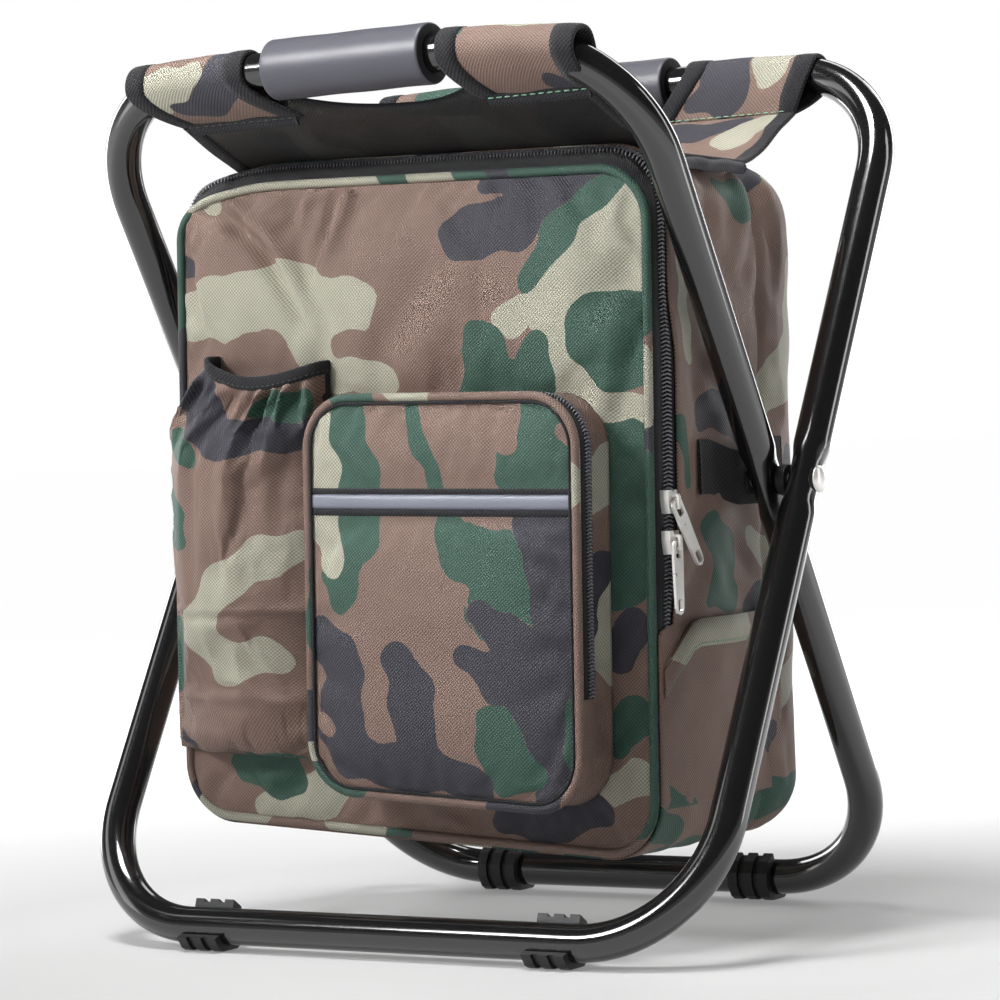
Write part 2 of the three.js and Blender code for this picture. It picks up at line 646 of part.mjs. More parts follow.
// Bottle pocket: a bulged sheet sewn to the front panel at its sides and foot, open at the top
const BOTTLE_LEFT = -BAG_HALF + BOTTLE_EDGE_INSET;
const BOTTLE_RIGHT = POCKET_LEFT - BOTTLE_POCKET_GAP;
const BOTTLE_LOW = BAG_BOTTOM + BOTTLE_BOTTOM_MARGIN;
const BOTTLE_HIGH = BOTTLE_LOW + BOTTLE_HEIGHT;

function bottleRing(bulge, z) {
  const middle = (BOTTLE_LEFT + BOTTLE_RIGHT) / 2;
  const half = (BOTTLE_RIGHT - BOTTLE_LEFT) / 2;
  const bow = (inset, from, to) => arc(0, 0, 1, from, to, ROUND_STEPS / 2)
    .map((p) => new THREE.Vector3(middle + (half - inset) * p.x, POCKET_BACK - (bulge - inset) * p.y, z));
  return [...bow(0, 180, 0), ...bow(POCKET_WALL, 0, 180)];
}

function bottlePocket() {
  const rise = [[0, BOTTLE_SEAM_BULGE], [0.05, 0.75 * BOTTLE_BULGE], [0.25, BOTTLE_BULGE],
    [0.75, 0.95 * BOTTLE_BULGE], [1, 0.8 * BOTTLE_BULGE]];
  return loft(rise.map(([share, bulge]) => bottleRing(bulge, BOTTLE_LOW + share * BOTTLE_HEIGHT)), onZ);
}

function bottleElastic() {
  const low = BOTTLE_HIGH + SEAT_GAP;
  return loft([low, low + ELASTIC_HEIGHT].map((z) => bottleRing(0.8 * BOTTLE_BULGE, z)), onZ);
}

// Slip pocket on one side: a flat sheet held off the bag by its seams, open at the slanted top
function sidePocket() {
  const low = BAG_BOTTOM + BAG_CORNER;
  const high = low + SIDE_POCKET_HEIGHT;
  const rear = BAG_REAR_REACH - REAR_ROUND_DEPTH;
  const outline = (inset, lift) => new THREE.Shape([
    [TUB_FRONT + inset, low + inset], [rear - inset, low + inset], [rear - inset, high + lift],
    [TUB_FRONT + SIDE_POCKET_SLANT, high + lift], [TUB_FRONT + inset, high - SIDE_POCKET_SLANT + lift],
  ].map(([y, z]) => new THREE.Vector2(y, z)));
  const seat = BAG_HALF + SEAT_GAP;
  const sheet = alongX(outline(0, 0), seat, seat + SIDE_POCKET_DEPTH);
  return cut(sheet, alongX(outline(POCKET_WALL, 1), seat - 1, seat + SIDE_POCKET_DEPTH - POCKET_WALL));
}

// Zip slider with its bail, drawn with the zip along Y and the outside towards +Z
function zipSlider() {
  const [w, l] = [SLIDER_WIDTH / 2, SLIDER_LENGTH / 2];
  const body = [[-w, l], [-0.3 * w, l], [0, 0.75 * l], [0.3 * w, l], [w, l], [w, 0.2 * l],
    [0.73 * w, -l], [-0.73 * w, -l], [-w, 0.2 * l]];
  const plate = new THREE.Shape(body.map(([x, y]) => new THREE.Vector2(x, y)));
  const foot = SLIDER_HEIGHT - 0.3;
  const top = SLIDER_HEIGHT + BAIL_HEIGHT;
  const span = 0.66 * l;
  const eye = span - BAIL_BAR;
  const bridge = [[-span, foot], [-eye, foot], [-eye, top - BAIL_BAR], [eye, top - BAIL_BAR], [eye, foot],
    [span, foot], [span, top - 0.5 * BAIL_BAR], [eye, top], [-eye, top], [-span, top - 0.5 * BAIL_BAR]];
  const arch = new THREE.Shape(bridge.map(([y, z]) => new THREE.Vector2(y, z)));
  const bail = alongX(arch, -BAIL_WIDTH / 2, BAIL_WIDTH / 2);
  return join(alongZ(plate, 0, SLIDER_HEIGHT), bail);
}

const HINGE_LIFT = SLIDER_HEIGHT + (BAIL_HEIGHT - BAIL_BAR) / 2;

// Zip pull with its bar at the origin, hanging along -Y, with a wide eye above and a hole near its end
function zipPull() {
  const [top, end] = [PULL_WIDTH / 2, 0.8 * PULL_WIDTH / 2];
  const bar = PULL_BAR / 2;
  const outline = [
    ...arc(0, -PULL_LENGTH + end, end, 180, 360, CORNER_STEPS),
    new THREE.Vector2(top, -0.3 * PULL_LENGTH),
    new THREE.Vector2(top, -bar), new THREE.Vector2(0.8 * top, bar),
    new THREE.Vector2(-0.8 * top, bar), new THREE.Vector2(-top, -bar),
    new THREE.Vector2(-top, -0.3 * PULL_LENGTH),
  ];
  const hole = (half, low, high) => roundedRect(-half, half, low, high, 0.5 * half, 0.5 * half, 2);
  const eye = hole(0.59 * top, -0.22 * PULL_LENGTH, -bar);
  const tip = hole(0.6 * end, -PULL_LENGTH + 0.5 * end, -0.78 * PULL_LENGTH);
  return alongZ(shapeOf(outline, eye, tip), -PULL_THICKNESS / 2, PULL_THICKNESS / 2);
}

// Places a slider and its pull on a zip that runs upwards on a side facing +X or -X
function addZipper(parent, name, facing, x, y, z, { tilt = 0, lean = 0, size = 1 }) {
  const across = new THREE.Vector3(0, facing, 0);
  const upwards = new THREE.Vector3(0, 0, 1);
  const basis = new THREE.Matrix4().makeBasis(across, upwards, new THREE.Vector3(facing, 0, 0));
  const group = new THREE.Group();
  group.setRotationFromMatrix(basis);
  group.position.set(x + facing * SEAT_GAP, y, z);
  addPart(group, `${name}_slider`, zipSlider().scale(size, size, size), LOOKS.zinc);
  const hinge = new THREE.Group();
  hinge.position.z = HINGE_LIFT * size;
  hinge.rotation.set(-lean, 0, tilt, 'ZXY');
  addPart(hinge, `${name}_pull`, zipPull().scale(size, size, size), LOOKS.zinc);
  group.add(hinge);
  parent.add(group);
}

// Shoulder strap on the back: padded upper part, ladder buckle and webbing tail
const BACK_SEAT = BAG_REAR_REACH + SEAT_GAP;
const PAD_HIGH = BAG_TOP - PAD_TOP_MARGIN;
const PAD_LOW = PAD_HIGH - PAD_LENGTH;
const BUCKLE_HIGH = PAD_LOW - SEAT_GAP;
const BUCKLE_LOW = BUCKLE_HIGH - BUCKLE_HEIGHT;

function shoulderPad(x) {
  const half = PAD_WIDTH / 2;
  const outline = roundedRect(x - half, x + half, PAD_LOW, PAD_HIGH, 0.3 * half, 0.8 * half);
  return alongY(new THREE.Shape(outline), BACK_SEAT, BACK_SEAT + PAD_THICKNESS);
}

function ladderBuckle(x) {
  const half = BUCKLE_WIDTH / 2;
  const slotHeight = (BUCKLE_HEIGHT - 3 * BUCKLE_BAR) / 2;
  const [left, right] = [x - half + BUCKLE_BAR, x + half - BUCKLE_BAR];
  const slot = (low) => roundedRect(left, right, low, low + slotHeight, 1, 1, 2);
  const outline = roundedRect(x - half, x + half, BUCKLE_LOW, BUCKLE_HIGH, BUCKLE_BAR, BUCKLE_BAR);
  const slots = [slot(BUCKLE_LOW + BUCKLE_BAR), slot(BUCKLE_LOW + 2 * BUCKLE_BAR + slotHeight)];
  return alongY(shapeOf(outline, ...slots), BACK_SEAT, BACK_SEAT + BUCKLE_THICKNESS);
}

function strapTail(x) {
  const high = BUCKLE_LOW - SEAT_GAP;
  const half = STRAP_WIDTH / 2;
  return box(x - half, x + half, BACK_SEAT, BACK_SEAT + STRAP_THICKNESS, high - STRAP_TAIL, high);
}

// Assembly
const SIDES = [['left', -1], ['right', 1]];
const stool = new THREE.Group();

function addLoop(name, width, bend, lean, end, outerEnd) {
  const loop = new THREE.Group();
  loop.position.z = PIVOT_HEIGHT;
  loop.rotation.x = lean;
  addPart(loop, `${name}_frame_tube`, steelLoop(width, bend), LOOKS.steel);
  addPart(loop, `${name}_joint_sleeve`, jointSleeve(), LOOKS.steel);
  addPart(loop, `${end}_grip`, foamGrip(), LOOKS.grip);
  for (const [side, sign] of SIDES) {
    addPart(loop, `${end}_${side}_rail_sleeve`, railSleeve(outerEnd, sign), LOOKS.camouflage);
  }
  stool.add(loop);
}

addLoop('outer', OUTER_LOOP_WIDTH, OUTER_BEND, -LEAN, 'rear', REAR_SLEEVE_END);
addLoop('inner', INNER_LOOP_WIDTH, INNER_BEND, LEAN, 'front', FRONT_SLEEVE_END);

const pivot = new THREE.Group();
pivot.position.z = PIVOT_HEIGHT;
for (const [side, sign] of SIDES) {
  const mirrored = (geometry) => geometry.scale(sign, 1, 1);
  addPart(pivot, `${side}_pivot_rivet`, mirrored(rivet()), LOOKS.zinc);
  addPart(pivot, `${side}_leg_spacer`, mirrored(legSpacer()), LOOKS.zinc);
  const washer = ring(WASHER_DIAMETER, BAND_OUTER_FACE + SEAT_GAP, INNER_LEG_FACE - SEAT_GAP);
  addPart(pivot, `${side}_pivot_washer`, mirrored(washer), LOOKS.zinc);
  addPart(pivot, `${side}_pivot_band`, mirrored(pivotBand()), LOOKS.webbing);
}
stool.add(pivot);

for (const [end, facing, place] of [['front', -1, FRONT_FOOT_PLACE], ['rear', 1, REAR_FOOT_PLACE]]) {
  for (const [side, sign] of SIDES) {
    const foot = new THREE.Group();
    foot.position.set(sign * place, facing * BOTTOM_RAIL_REACH, BOTTOM_RAIL_HEIGHT);
    addPart(foot, `${end}_${side}_foot`, footClip(facing), LOOKS.plastic);
    stool.add(foot);
  }
}

addPart(stool, 'seat_sling', seatSling(), LOOKS.camouflage);
addPart(stool, 'bag_shell', bagShell(), LOOKS.camouflage);
addPart(stool, 'bag_insulation', tub(SHELL_WALL + SEAT_GAP, FOAM_WALL), LOOKS.foam);
addPart(stool, 'bag_liner', tub(SHELL_WALL + FOAM_WALL + 2 * SEAT_GAP, LINER_WALL), LOOKS.foil);

const panelCorner = BAG_CORNER - PANEL_INSET;
const flap = frontPanel(ZIP_END + SEAT_GAP / 2, BAG_TOP - PANEL_INSET, panelCorner, 0);
const lowerPanel = frontPanel(BAG_BOTTOM + PANEL_INSET, ZIP_END - SEAT_GAP / 2, 0, panelCorner);
addPart(stool, 'front_flap', flap, LOOKS.camouflage);
addPart(stool, 'lower_front_panel', lowerPanel, LOOKS.camouflage);
addPart(stool, 'flap_piping', flapPiping(), LOOKS.piping);
addPart(stool, 'lower_piping', panelPiping(), LOOKS.piping);
addPart(stool, 'flap_zip_tape', zipTape(TUB_FRONT, FLAP_TAPE_BACK), LOOKS.webbing);
addPart(stool, 'bag_zip_tape', zipTape(BAG_TAPE_FRONT, BAG_TAPE_BACK), LOOKS.webbing);

const zipPlace = (FLAP_TAPE_BACK + BAG_TAPE_FRONT) / 2;
const lowerSlider = ZIP_END + LOWER_SLIDER_RISE;
const upperSlider = lowerSlider + SLIDER_LENGTH + SLIDER_GAP;
addZipper(stool, 'lower_zip', 1, BAG_HALF, zipPlace, lowerSlider, {});
addZipper(stool, 'upper_zip', 1, BAG_HALF, zipPlace, upperSlider, {
  tilt: THREE.MathUtils.degToRad(PULL_TILT_DEGREES),
  lean: THREE.MathUtils.degToRad(PULL_LEAN_DEGREES),
});

addPart(stool, 'front_pocket', frontPocket(), LOOKS.camouflage);
addPart(stool, 'pocket_piping', pocketPiping(), LOOKS.piping);
addPart(stool, 'reflective_strip', reflectiveStrip(), LOOKS.reflective);
const pocketZipPlace = POCKET_FRONT + POCKET_ZIP_SETBACK;
const pocketSlider = POCKET_HIGH - POCKET_SLIDER_DROP;
addZipper(stool, 'pocket_zip', -1, POCKET_LEFT, pocketZipPlace, pocketSlider, { size: POCKET_ZIP_SIZE });
addPart(stool, 'bottle_pocket', bottlePocket(), LOOKS.camouflage);
addPart(stool, 'bottle_pocket_elastic', bottleElastic(), LOOKS.webbing);

for (const [side, sign] of SIDES) {
  const x = (sign * STRAP_SPACING) / 2;
  addPart(stool, `${side}_side_pocket`, sidePocket().scale(sign, 1, 1), LOOKS.camouflage);
  addPart(stool, `${side}_shoulder_pad`, shoulderPad(x), LOOKS.camouflage);
  addPart(stool, `${side}_strap_buckle`, ladderBuckle(x), LOOKS.plastic);
  addPart(stool, `${side}_strap_tail`, strapTail(x), LOOKS.webbing);
}

export default stool;
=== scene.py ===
import math

import bmesh
import bpy
import numpy as np
from mathutils import Matrix, Vector


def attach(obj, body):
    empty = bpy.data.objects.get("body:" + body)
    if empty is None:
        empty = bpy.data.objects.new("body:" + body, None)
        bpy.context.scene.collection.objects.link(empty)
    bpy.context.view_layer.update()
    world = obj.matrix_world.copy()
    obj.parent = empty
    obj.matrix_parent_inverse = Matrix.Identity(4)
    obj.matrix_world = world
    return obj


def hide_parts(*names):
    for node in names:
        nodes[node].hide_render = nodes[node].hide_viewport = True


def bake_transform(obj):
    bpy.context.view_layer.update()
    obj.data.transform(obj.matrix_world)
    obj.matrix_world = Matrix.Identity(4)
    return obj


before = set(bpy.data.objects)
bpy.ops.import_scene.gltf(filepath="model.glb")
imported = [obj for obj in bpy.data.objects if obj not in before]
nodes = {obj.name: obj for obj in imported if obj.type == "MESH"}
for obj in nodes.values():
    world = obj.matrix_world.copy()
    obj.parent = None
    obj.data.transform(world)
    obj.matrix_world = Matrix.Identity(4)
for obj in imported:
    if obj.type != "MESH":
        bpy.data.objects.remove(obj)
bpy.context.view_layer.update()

# One millimetre in the scene's metres
MM = 0.001

# Sizes of the stool in millimetres; a rectangle is left, right, low and high
# A loop's rails lie above and below the pivot; a loop has its half width, bend radius and lean
PIVOT = 219.35
LEAN = math.radians(30)
TUBE = 9.0
FLAT, FLAT_END, FLAT_PRESS = 8.6, 19.0, 0.2
ABOVE, BELOW = 238.0, 240.0
LOOPS = {"outer": (175.0, 64.0, -LEAN), "inner": (155.0, 66.0, LEAN)}
GRIP, GRIP_BORE, GRIP_END = 14.6, 9.2, 45.0
RIVET_TAIL, RIVET_HEAD = 143.9, 182.5
HALF, FRONT, BACK, LOW, HIGH = 137.0, -80.0, 75.0, 52.0, 377.9
CORNER = 28.0
FOLD = 156.0
SHEATH, STITCH = 10.7, 25.0
SEAT = HIGH + 1.3
PANEL = (-HALF, HALF, LOW, HIGH - 4.0)
PANEL_EDGE, PANEL_REAR, PANEL_SEAM = FRONT + 2.2, -75.2, 3.0
LOWER_MOUTH, UPPER_MOUTH, REAR_SEAM = -76.8, -64.5, 26.0
POCKET = (-36.0, 114.0, 77.0, 266.0)
POCKET_FACE, POCKET_CORNER, POCKET_SEAM = -112.0, 24.0, 1.4
STRIP_LOW, STRIP_HIGH = 207.0, 226.0
BOTTLE = (-138.0, -41.0, 84.0, 278.0)
# The back panel is smaller than the bag at its sides, below and above; the sides round off to it
ROUNDING, INSET, RISE, DROP = 41.0, 25.0, 28.0, 42.0
BACK_PANEL = (INSET - HALF, HALF - INSET, LOW + RISE, HIGH - DROP)
LINER = 6.9
PAD_MIDDLE, PAD_HALF, PAD_LOW, PAD_HIGH, PAD_CORNER = 61.0, 25.5, 180.5, 329.5, 14.0
PAD_SEAT, PAD_EDGE = 77.9, 3.4

# How the soft parts of this stool hang in the photo
ASKEW = math.radians(1.6)
LOW_TILT = 0.03
SLEEVES = {"front_left": (53.0, 123.0), "front_right": (59.0, 131.0),
           "rear_left": (58.0, 134.0), "rear_right": (58.0, 132.0)}
SEAM_SHIFT = {"front_left": (20, 18), "front_right": (11, 1), "rear_right": (-18, -10), "rear_left": (10, 6)}
DROOP = {"front_left": 2.5, "front_right": 5.5, "rear_right": 3.0, "rear_left": 3.0}
GRIP_SHIFT = {"front": 6.0, "rear": 0.0}
CUT = {"front": (-37.0, 34.0, 72.0), "rear": (-49.0, -4.0, 41.0)}

SIDES = (("left", -1), ("right", 1))
ALONG_X, ALONG_Y, ALONG_Z = np.eye(3)
WELD = 0.004
PUFF_FRAMES = 18


# Mesh building

def xyz(*parts):
    """Points or directions from numbers and arrays, stretched to one shape."""
    return np.stack(np.broadcast_arrays(*parts), -1)


class Sewing:
    """Collects sheets of quads, in millimetres, and welds them into one object in metres."""

    def __init__(self):
        self.verts, self.faces, self.uvs, self.mats = [], [], [], []

    def grid(self, points, uv=None, wrap_i=False, wrap_j=False, mat=0, flip=False):
        points = np.asarray(points, float)
        n, m = points.shape[:2]
        base = len(self.verts)
        self.verts.extend(map(tuple, points.reshape(-1, 3)))
        if uv is None:
            uv = measured_uv(points, wrap_i, wrap_j)
        for i in range(n if wrap_i else n - 1):
            for j in range(m if wrap_j else m - 1):
                ring = [(i, j), (i + 1, j), (i + 1, j + 1), (i, j + 1)]
                if flip:
                    ring.reverse()
                self.faces.append([base + (a % n) * m + b % m for a, b in ring])
                self.uvs.extend(tuple(uv[a, b]) for a, b in ring)
                self.mats.append(mat)
        return self

    def fan(self, ring, flip=False):
        """Closes a ring of points with triangles round its middle."""
        base = len(self.verts)
        self.verts.extend(map(tuple, ring))
        self.verts.append(tuple(np.mean(ring, 0)))
        for i in range(len(ring)):
            corners = [base + i, base + (i + 1) % len(ring), base + len(ring)]
            if flip:
                corners.reverse()
            self.faces.append(corners)
            self.uvs.extend((self.verts[c][0] * MM, self.verts[c][2] * MM) for c in corners)
            self.mats.append(0)
        return self

    def rod(self, rings):
        """A tube of rings with both ends closed."""
        return self.grid(rings, wrap_j=True).fan(rings[0], flip=True).fan(rings[-1])

    def walls(self, first, second):
        """Joins the borders of two sheets that lie one over the other."""
        every = slice(None)
        for i, j, flip in ((0, every, False), (-1, every, True), (every, 0, True), (every, -1, False)):
            self.grid([first[i, j], second[i, j]], flip=flip)
        return self

    def build(self, name, *materials):
        mesh = bpy.data.meshes.new(name)
        mesh.from_pydata([(x * MM, y * MM, z * MM) for x, y, z in self.verts], [], self.faces)
        layer = mesh.uv_layers.new(name="UVMap")
        layer.data.foreach_set("uv", np.asarray(self.uvs, np.float32).ravel())
        mesh.polygons.foreach_set("material_index", self.mats)
        for material in materials:
            mesh.materials.append(material)
        work = bmesh.new()
        work.from_mesh(mesh)
        bmesh.ops.remove_doubles(work, verts=work.verts, dist=WELD * MM)
        bmesh.ops.dissolve_degenerate(work, edges=work.edges, dist=1e-7)
        for face in work.faces:
            face.smooth = True
        work.to_mesh(mesh)
        work.free()
        obj = bpy.data.objects.new(name, mesh)
        bpy.context.scene.collection.objects.link(obj)
        return obj


def measured_uv(points, wrap_i, wrap_j):
    """Texture places in metres, from lengths along the two ways of a sheet."""
    p = np.concatenate([points, points[:1]]) if wrap_i else points
    p = np.concatenate([p, p[:, :1]], 1) if wrap_j else p
    u = np.zeros(p.shape[:2])
    v = np.zeros(p.shape[:2])
    u[1:] = np.cumsum(np.linalg.norm(np.diff(p, axis=0), axis=2).mean(1))[:, None]
    v[:, 1:] = np.cumsum(np.linalg.norm(np.diff(p, axis=1), axis=2).mean(0))[None, :]
    return xyz(u, v) * MM


def swept(path, across, normal, section):
    """Points of a section carried along a path; across and normal give the section's two ways."""
    path, section = np.asarray(path, float), np.asarray(section, float)
    across, normal = (np.broadcast_to(way, path.shape)[:, None] for way in (across, normal))
    return path[:, None] + across * section[None, :, :1] + normal * section[None, :, 1:]


def sweep(path, across, normal, section, closed=False):
    points = swept(path, across, normal, section)
    if closed:
        return Sewing().grid(points, wrap_i=True, wrap_j=True)
    return Sewing().rod(points)


def circle(radius, sides, squash=1.0):
    a = np.arange(sides) * 2 * math.pi / sides
    return xyz(radius * np.cos(a), squash * radius * np.sin(a))


def tape_section(width, thickness, lip=0.6):
    """Section of a folded tape: a flat strip with a round outer edge at 0."""
    t = thickness / 2
    return np.array([[width, t * 0.7], [width * 0.6, t], [lip, t], [-lip * 0.7, t * 0.7], [-lip, 0],
                     [-lip * 0.7, -t * 0.7], [lip, -t], [width * 0.6, -t], [width, -t * 0.7]])


def strip_section(start, stop, over, under):
    return np.array([[start, over], [stop, over], [stop, -under], [start, -under]])


def unit(v):
    v = np.asarray(v, float)
    return v / np.linalg.norm(v, axis=-1, keepdims=True)


def tangents(path, closed=False):
    path = np.asarray(path, float)
    return unit(np.roll(path, -1, 0) - np.roll(path, 1, 0) if closed else np.gradient(path, axis=0))


def shrunk(rectangle, by):
    left, right, low, high = rectangle
    return left + by, right - by, low + by, high - by


def inset(x, z, left, right, low, high):
    """How far a place lies inside the nearest edge of a rectangle."""
    return np.minimum(np.minimum(x - left, right - x), np.minimum(z - low, high - z))


def outline(left, right, low, high, radius, nx, nz, na):
    """Rounded rectangle of (x, z) points, from the middle of the bottom edge, rising on the right."""
    def run(a, b, n):
        return np.linspace(a, b, n + 1)[:-1]

    def turn(x, z, start):
        a = np.radians(start + np.linspace(0, 90, na + 1)[:-1])
        return xyz(x + radius * np.cos(a), z + radius * np.sin(a))

    middle = (left + right) / 2
    x0, x1, z0, z1 = shrunk((left, right, low, high), radius)
    return np.concatenate([
        run((middle, low), (x1, low), nx // 2), turn(x1, z0, 270), run((right, z0), (right, z1), nz),
        turn(x1, z1, 0), run((x1, high), (x0, high), nx), turn(x0, z1, 90),
        run((left, z1), (left, z0), nz), turn(x0, z0, 180), run((x0, low), (middle, low), nx // 2)])


def in_xz(line, y):
    return xyz(line[:, 0], y, line[:, 1])


def outward(line):
    """Outward directions of a closed (x, z) outline that runs anticlockwise seen from the front."""
    t = tangents(line, closed=True)
    return xyz(t[:, 1], 0, -t[:, 0])


def upper_stretch(line, low):
    """The part of an outline above a height, with its outward directions, from right over the top to left."""
    high = line[:, 1] > low
    start = np.argmax(high & (line[:, 0] > 0))
    stop = len(line) - np.argmax((high & (line[:, 0] < 0))[::-1])
    return line[start:stop], outward(line)[start:stop]


def closed_cord(line, y, section, shift=0.0):
    """A cord round a closed outline at one depth, moved outward by the shift."""
    out = outward(line)
    return sweep(in_xz(line, y) + out * shift, out, ALONG_Y, section, closed=True)


def waves(a, b, seed, size, count=7, spread=math.pi, lean=0.0):
    """Smooth ripples between about -1 and 1, the same on every run."""
    rng = np.random.RandomState(seed)
    total = np.zeros(np.broadcast(a, b).shape)
    for _ in range(count):
        turn = lean + (rng.rand() - 0.5) * spread
        k = 2 * math.pi / (size * (0.7 + 0.8 * rng.rand()))
        total += np.sin(k * (a * math.cos(turn) + b * math.sin(turn)) + rng.rand() * 2 * math.pi)
    return total / count ** 0.5 * 0.8


def portion(x, low, high):
    return np.clip((np.asarray(x, float) - low) / (high - low), 0, 1)


def step(x, low, high):
    """Smooth rise from 0 at low to 1 at high."""
    t = portion(x, low, high)
    return t * t * (3 - 2 * t)


def hump(x, low, high):
    """Half a sine wave between low and high, and 0 outside."""
    return np.sin(math.pi * portion(x, low, high))


def rows_of(left, right, low, high, radius, nu, nv):
    """Grid over a rounded rectangle, each row as wide as the outline is there."""
    z = low + (high - low) * (1 - np.cos(np.linspace(0, math.pi, nv))) / 2
    z = 0.4 * z + 0.6 * np.linspace(low, high, nv)
    d = np.maximum(radius - np.minimum(z - low, high - z), 0)
    pull = (radius - np.sqrt(np.maximum(radius ** 2 - d ** 2, 0)))[:, None]
    x = left + pull + (right - left - 2 * pull) * np.linspace(0, 1, nu)
    return x, np.repeat(z[:, None], nu, 1)


def tilted(ways, lean):
    """Directions in a loop's own plane, leaned over with it."""
    x, y, z = np.moveaxis(np.asarray(ways, float), -1, 0)
    c, s = math.cos(lean), math.sin(lean)
    return xyz(x, y * c - z * s, y * s + z * c)


def stand(points, lean):
    """Places in a loop's own plane, leaned over at the pivot."""
    return tilted(points, lean) + [0, 0, PIVOT]


def lengths(path):
    """Length along a path to each of its points."""
    return np.concatenate([[0], np.cumsum(np.linalg.norm(np.diff(path, axis=0), axis=1))])


def at(s, run, values):
    """What belongs to the length s along a path, from values at the lengths in run."""
    return np.array([np.interp(s, run, column) for column in values.T])


def stitches(path, normal, length, pitch, radius):
    """A row of thread dashes along a path on a cloth."""
    normal = np.broadcast_to(normal, path.shape)
    run = lengths(path)
    cloth = Sewing()
    for start in np.arange(pitch * 0.3, run[-1] - length, pitch):
        rings = []
        for place, fat in [(0, 0.15), (0.12, 0.8), (0.5, 1.0), (0.88, 0.8), (1, 0.15)]:
            s = start + length * place
            p, n = at(s, run, path), unit(at(s, run, normal))
            side = unit(np.cross(at(s + 0.4, run, path) - p + 1e-9, n))
            rings.append([p + (side * c + n * d * 0.8) * radius * fat for c, d in circle(1, 6)])
        cloth.rod(rings)
    return cloth


def zip_coil(path, normal, sign, pitch, reach):
    """One side of a zip's coil: slanted bars from the tape towards the middle of the chain."""
    run = lengths(path)
    inward = ALONG_Y * sign
    cloth = Sewing()
    for s in np.arange(pitch / 2, run[-1], pitch):
        p, n = at(s, run, path), unit(at(s, run, normal))
        along = unit(at(s + 0.5, run, path) - p + 1e-9)
        rings = []
        for place, rise, fat in [(0.0, 0.1, 0.3), (0.12, 0.75, 0.9), (0.8, 0.85, 1.0), (1.0, 0.3, 0.5)]:
            c = p + inward * (place - 0.9) * reach + n * rise + along * place * 1.1
            rings.append([c + (along * x * 0.5 + n * y * 0.75) * fat for x, y in circle(1, 6)])
        cloth.rod(rings)
    return cloth


def lathe(profile, sides):
    """Turns (radius, x) pairs about the X axis."""
    radius, x = np.asarray(profile, float).T[..., None]
    c, s = circle(1, sides).T
    return xyz(x, radius * c, radius * s)


def collar(radius, start, stop, edge):
    """Profile of a ring on the rivet, with broken outer edges."""
    bore = 3.3
    return [(bore, start), (radius - edge, start), (radius, start + edge), (radius, stop - edge),
            (radius - edge, stop), (bore, stop), (bore, start)]


def creases(a, b, folds):
    """Valleys along given lines: each is ((a, b), (a, b), width, depth)."""
    total = np.zeros(np.broadcast(a, b).shape)
    for (a0, b0), (a1, b1), width, depth in folds:
        da, db = a1 - a0, b1 - b0
        t = ((a - a0) * da + (b - b0) * db) / (da * da + db * db)
        off = np.hypot(a - a0 - np.clip(t, 0, 1) * da, b - b0 - np.clip(t, 0, 1) * db)
        shape = 0.45 * np.exp(-((off - 1.9 * width) / width) ** 2) - np.exp(-(off / width) ** 2)
        total += depth * (1 - step(t, 0.35, 1.05)) * shape
    return total


def drawn_folds(a, b, folds):
    """Sharp folds: each line has a valley with a ridge on its right, and dies out at both ends."""
    total = np.zeros(np.broadcast(a, b).shape)
    for (a0, b0), (a1, b1), width, depth in folds:
        da, db = a1 - a0, b1 - b0
        long = math.hypot(da, db)
        t = ((a - a0) * da + (b - b0) * db) / (long * long)
        off = ((a - a0) * db - (b - b0) * da) / (long * width)
        fade = step(t, -0.12, 0.2) * (1 - step(t, 0.5, 1.12))
        total += depth * fade * (0.55 * np.exp(-(off + 1.6) ** 2) - np.exp(-off * off))
    return total


def points_of(obj):
    """Points of an object's mesh, in millimetres."""
    co = np.empty(len(obj.data.vertices) * 3, np.float32)
    obj.data.vertices.foreach_get("co", co)
    return co.reshape(-1, 3) * 1000


def move_points(obj, points):
    obj.data.vertices.foreach_set("co", (points * MM).astype(np.float32).ravel())
    obj.data.update()


def puff_up(obj, free, pressure, grow, cap):
    """Cloth simulation: free points puff out and buckle between the sewn ones, by no more than the cap."""
    before = points_of(obj)
    sewn = np.flatnonzero(~free(*before.T)).tolist()
    group = obj.vertex_groups.new(name="sewn")
    group.add(sewn, 1.0, "REPLACE")
    mod = obj.modifiers.new("puff", "CLOTH")
    mod.settings.vertex_group_mass = "sewn"
    mod.settings.quality = 6
    mod.settings.use_pressure = True
    mod.settings.uniform_pressure_force = pressure
    mod.settings.shrink_min = -grow
    mod.settings.effector_weights.gravity = 0.0
    mod.collision_settings.use_collision = False
    mod.point_cache.frame_start, mod.point_cache.frame_end = 1, PUFF_FRAMES
    scene = bpy.context.scene
    for number in range(1, PUFF_FRAMES + 1):
        scene.frame_set(number)
    move = points_of(obj.evaluated_get(bpy.context.evaluated_depsgraph_get())) - before
    size = np.linalg.norm(move, axis=1, keepdims=True) + 1e-9
    move *= cap * np.tanh(size / cap) / size
    move[sewn] = 0
    obj.modifiers.remove(mod)
    obj.vertex_groups.remove(group)
    move_points(obj, before + move)
    scene.frame_set(1)


def solidify(obj, thickness, offset=-1.0):
    mod = obj.modifiers.new("cloth", "SOLIDIFY")
    mod.thickness = thickness * MM
    mod.offset = offset
    return obj


def bevel(obj, width, segments):
    mod = obj.modifiers.new("edge", "BEVEL")
    mod.width = width * MM
    mod.segments = segments
    mod.limit_method = "ANGLE"
    mod.angle_limit = math.radians(40)
    mod.harden_normals = True
    for face in obj.data.polygons:
        face.use_smooth = True


# Materials

def material(name):
    made = bpy.data.materials.new(name)
    made.use_nodes = True
    tree = made.node_tree
    return made, tree, tree.nodes["Principled BSDF"]


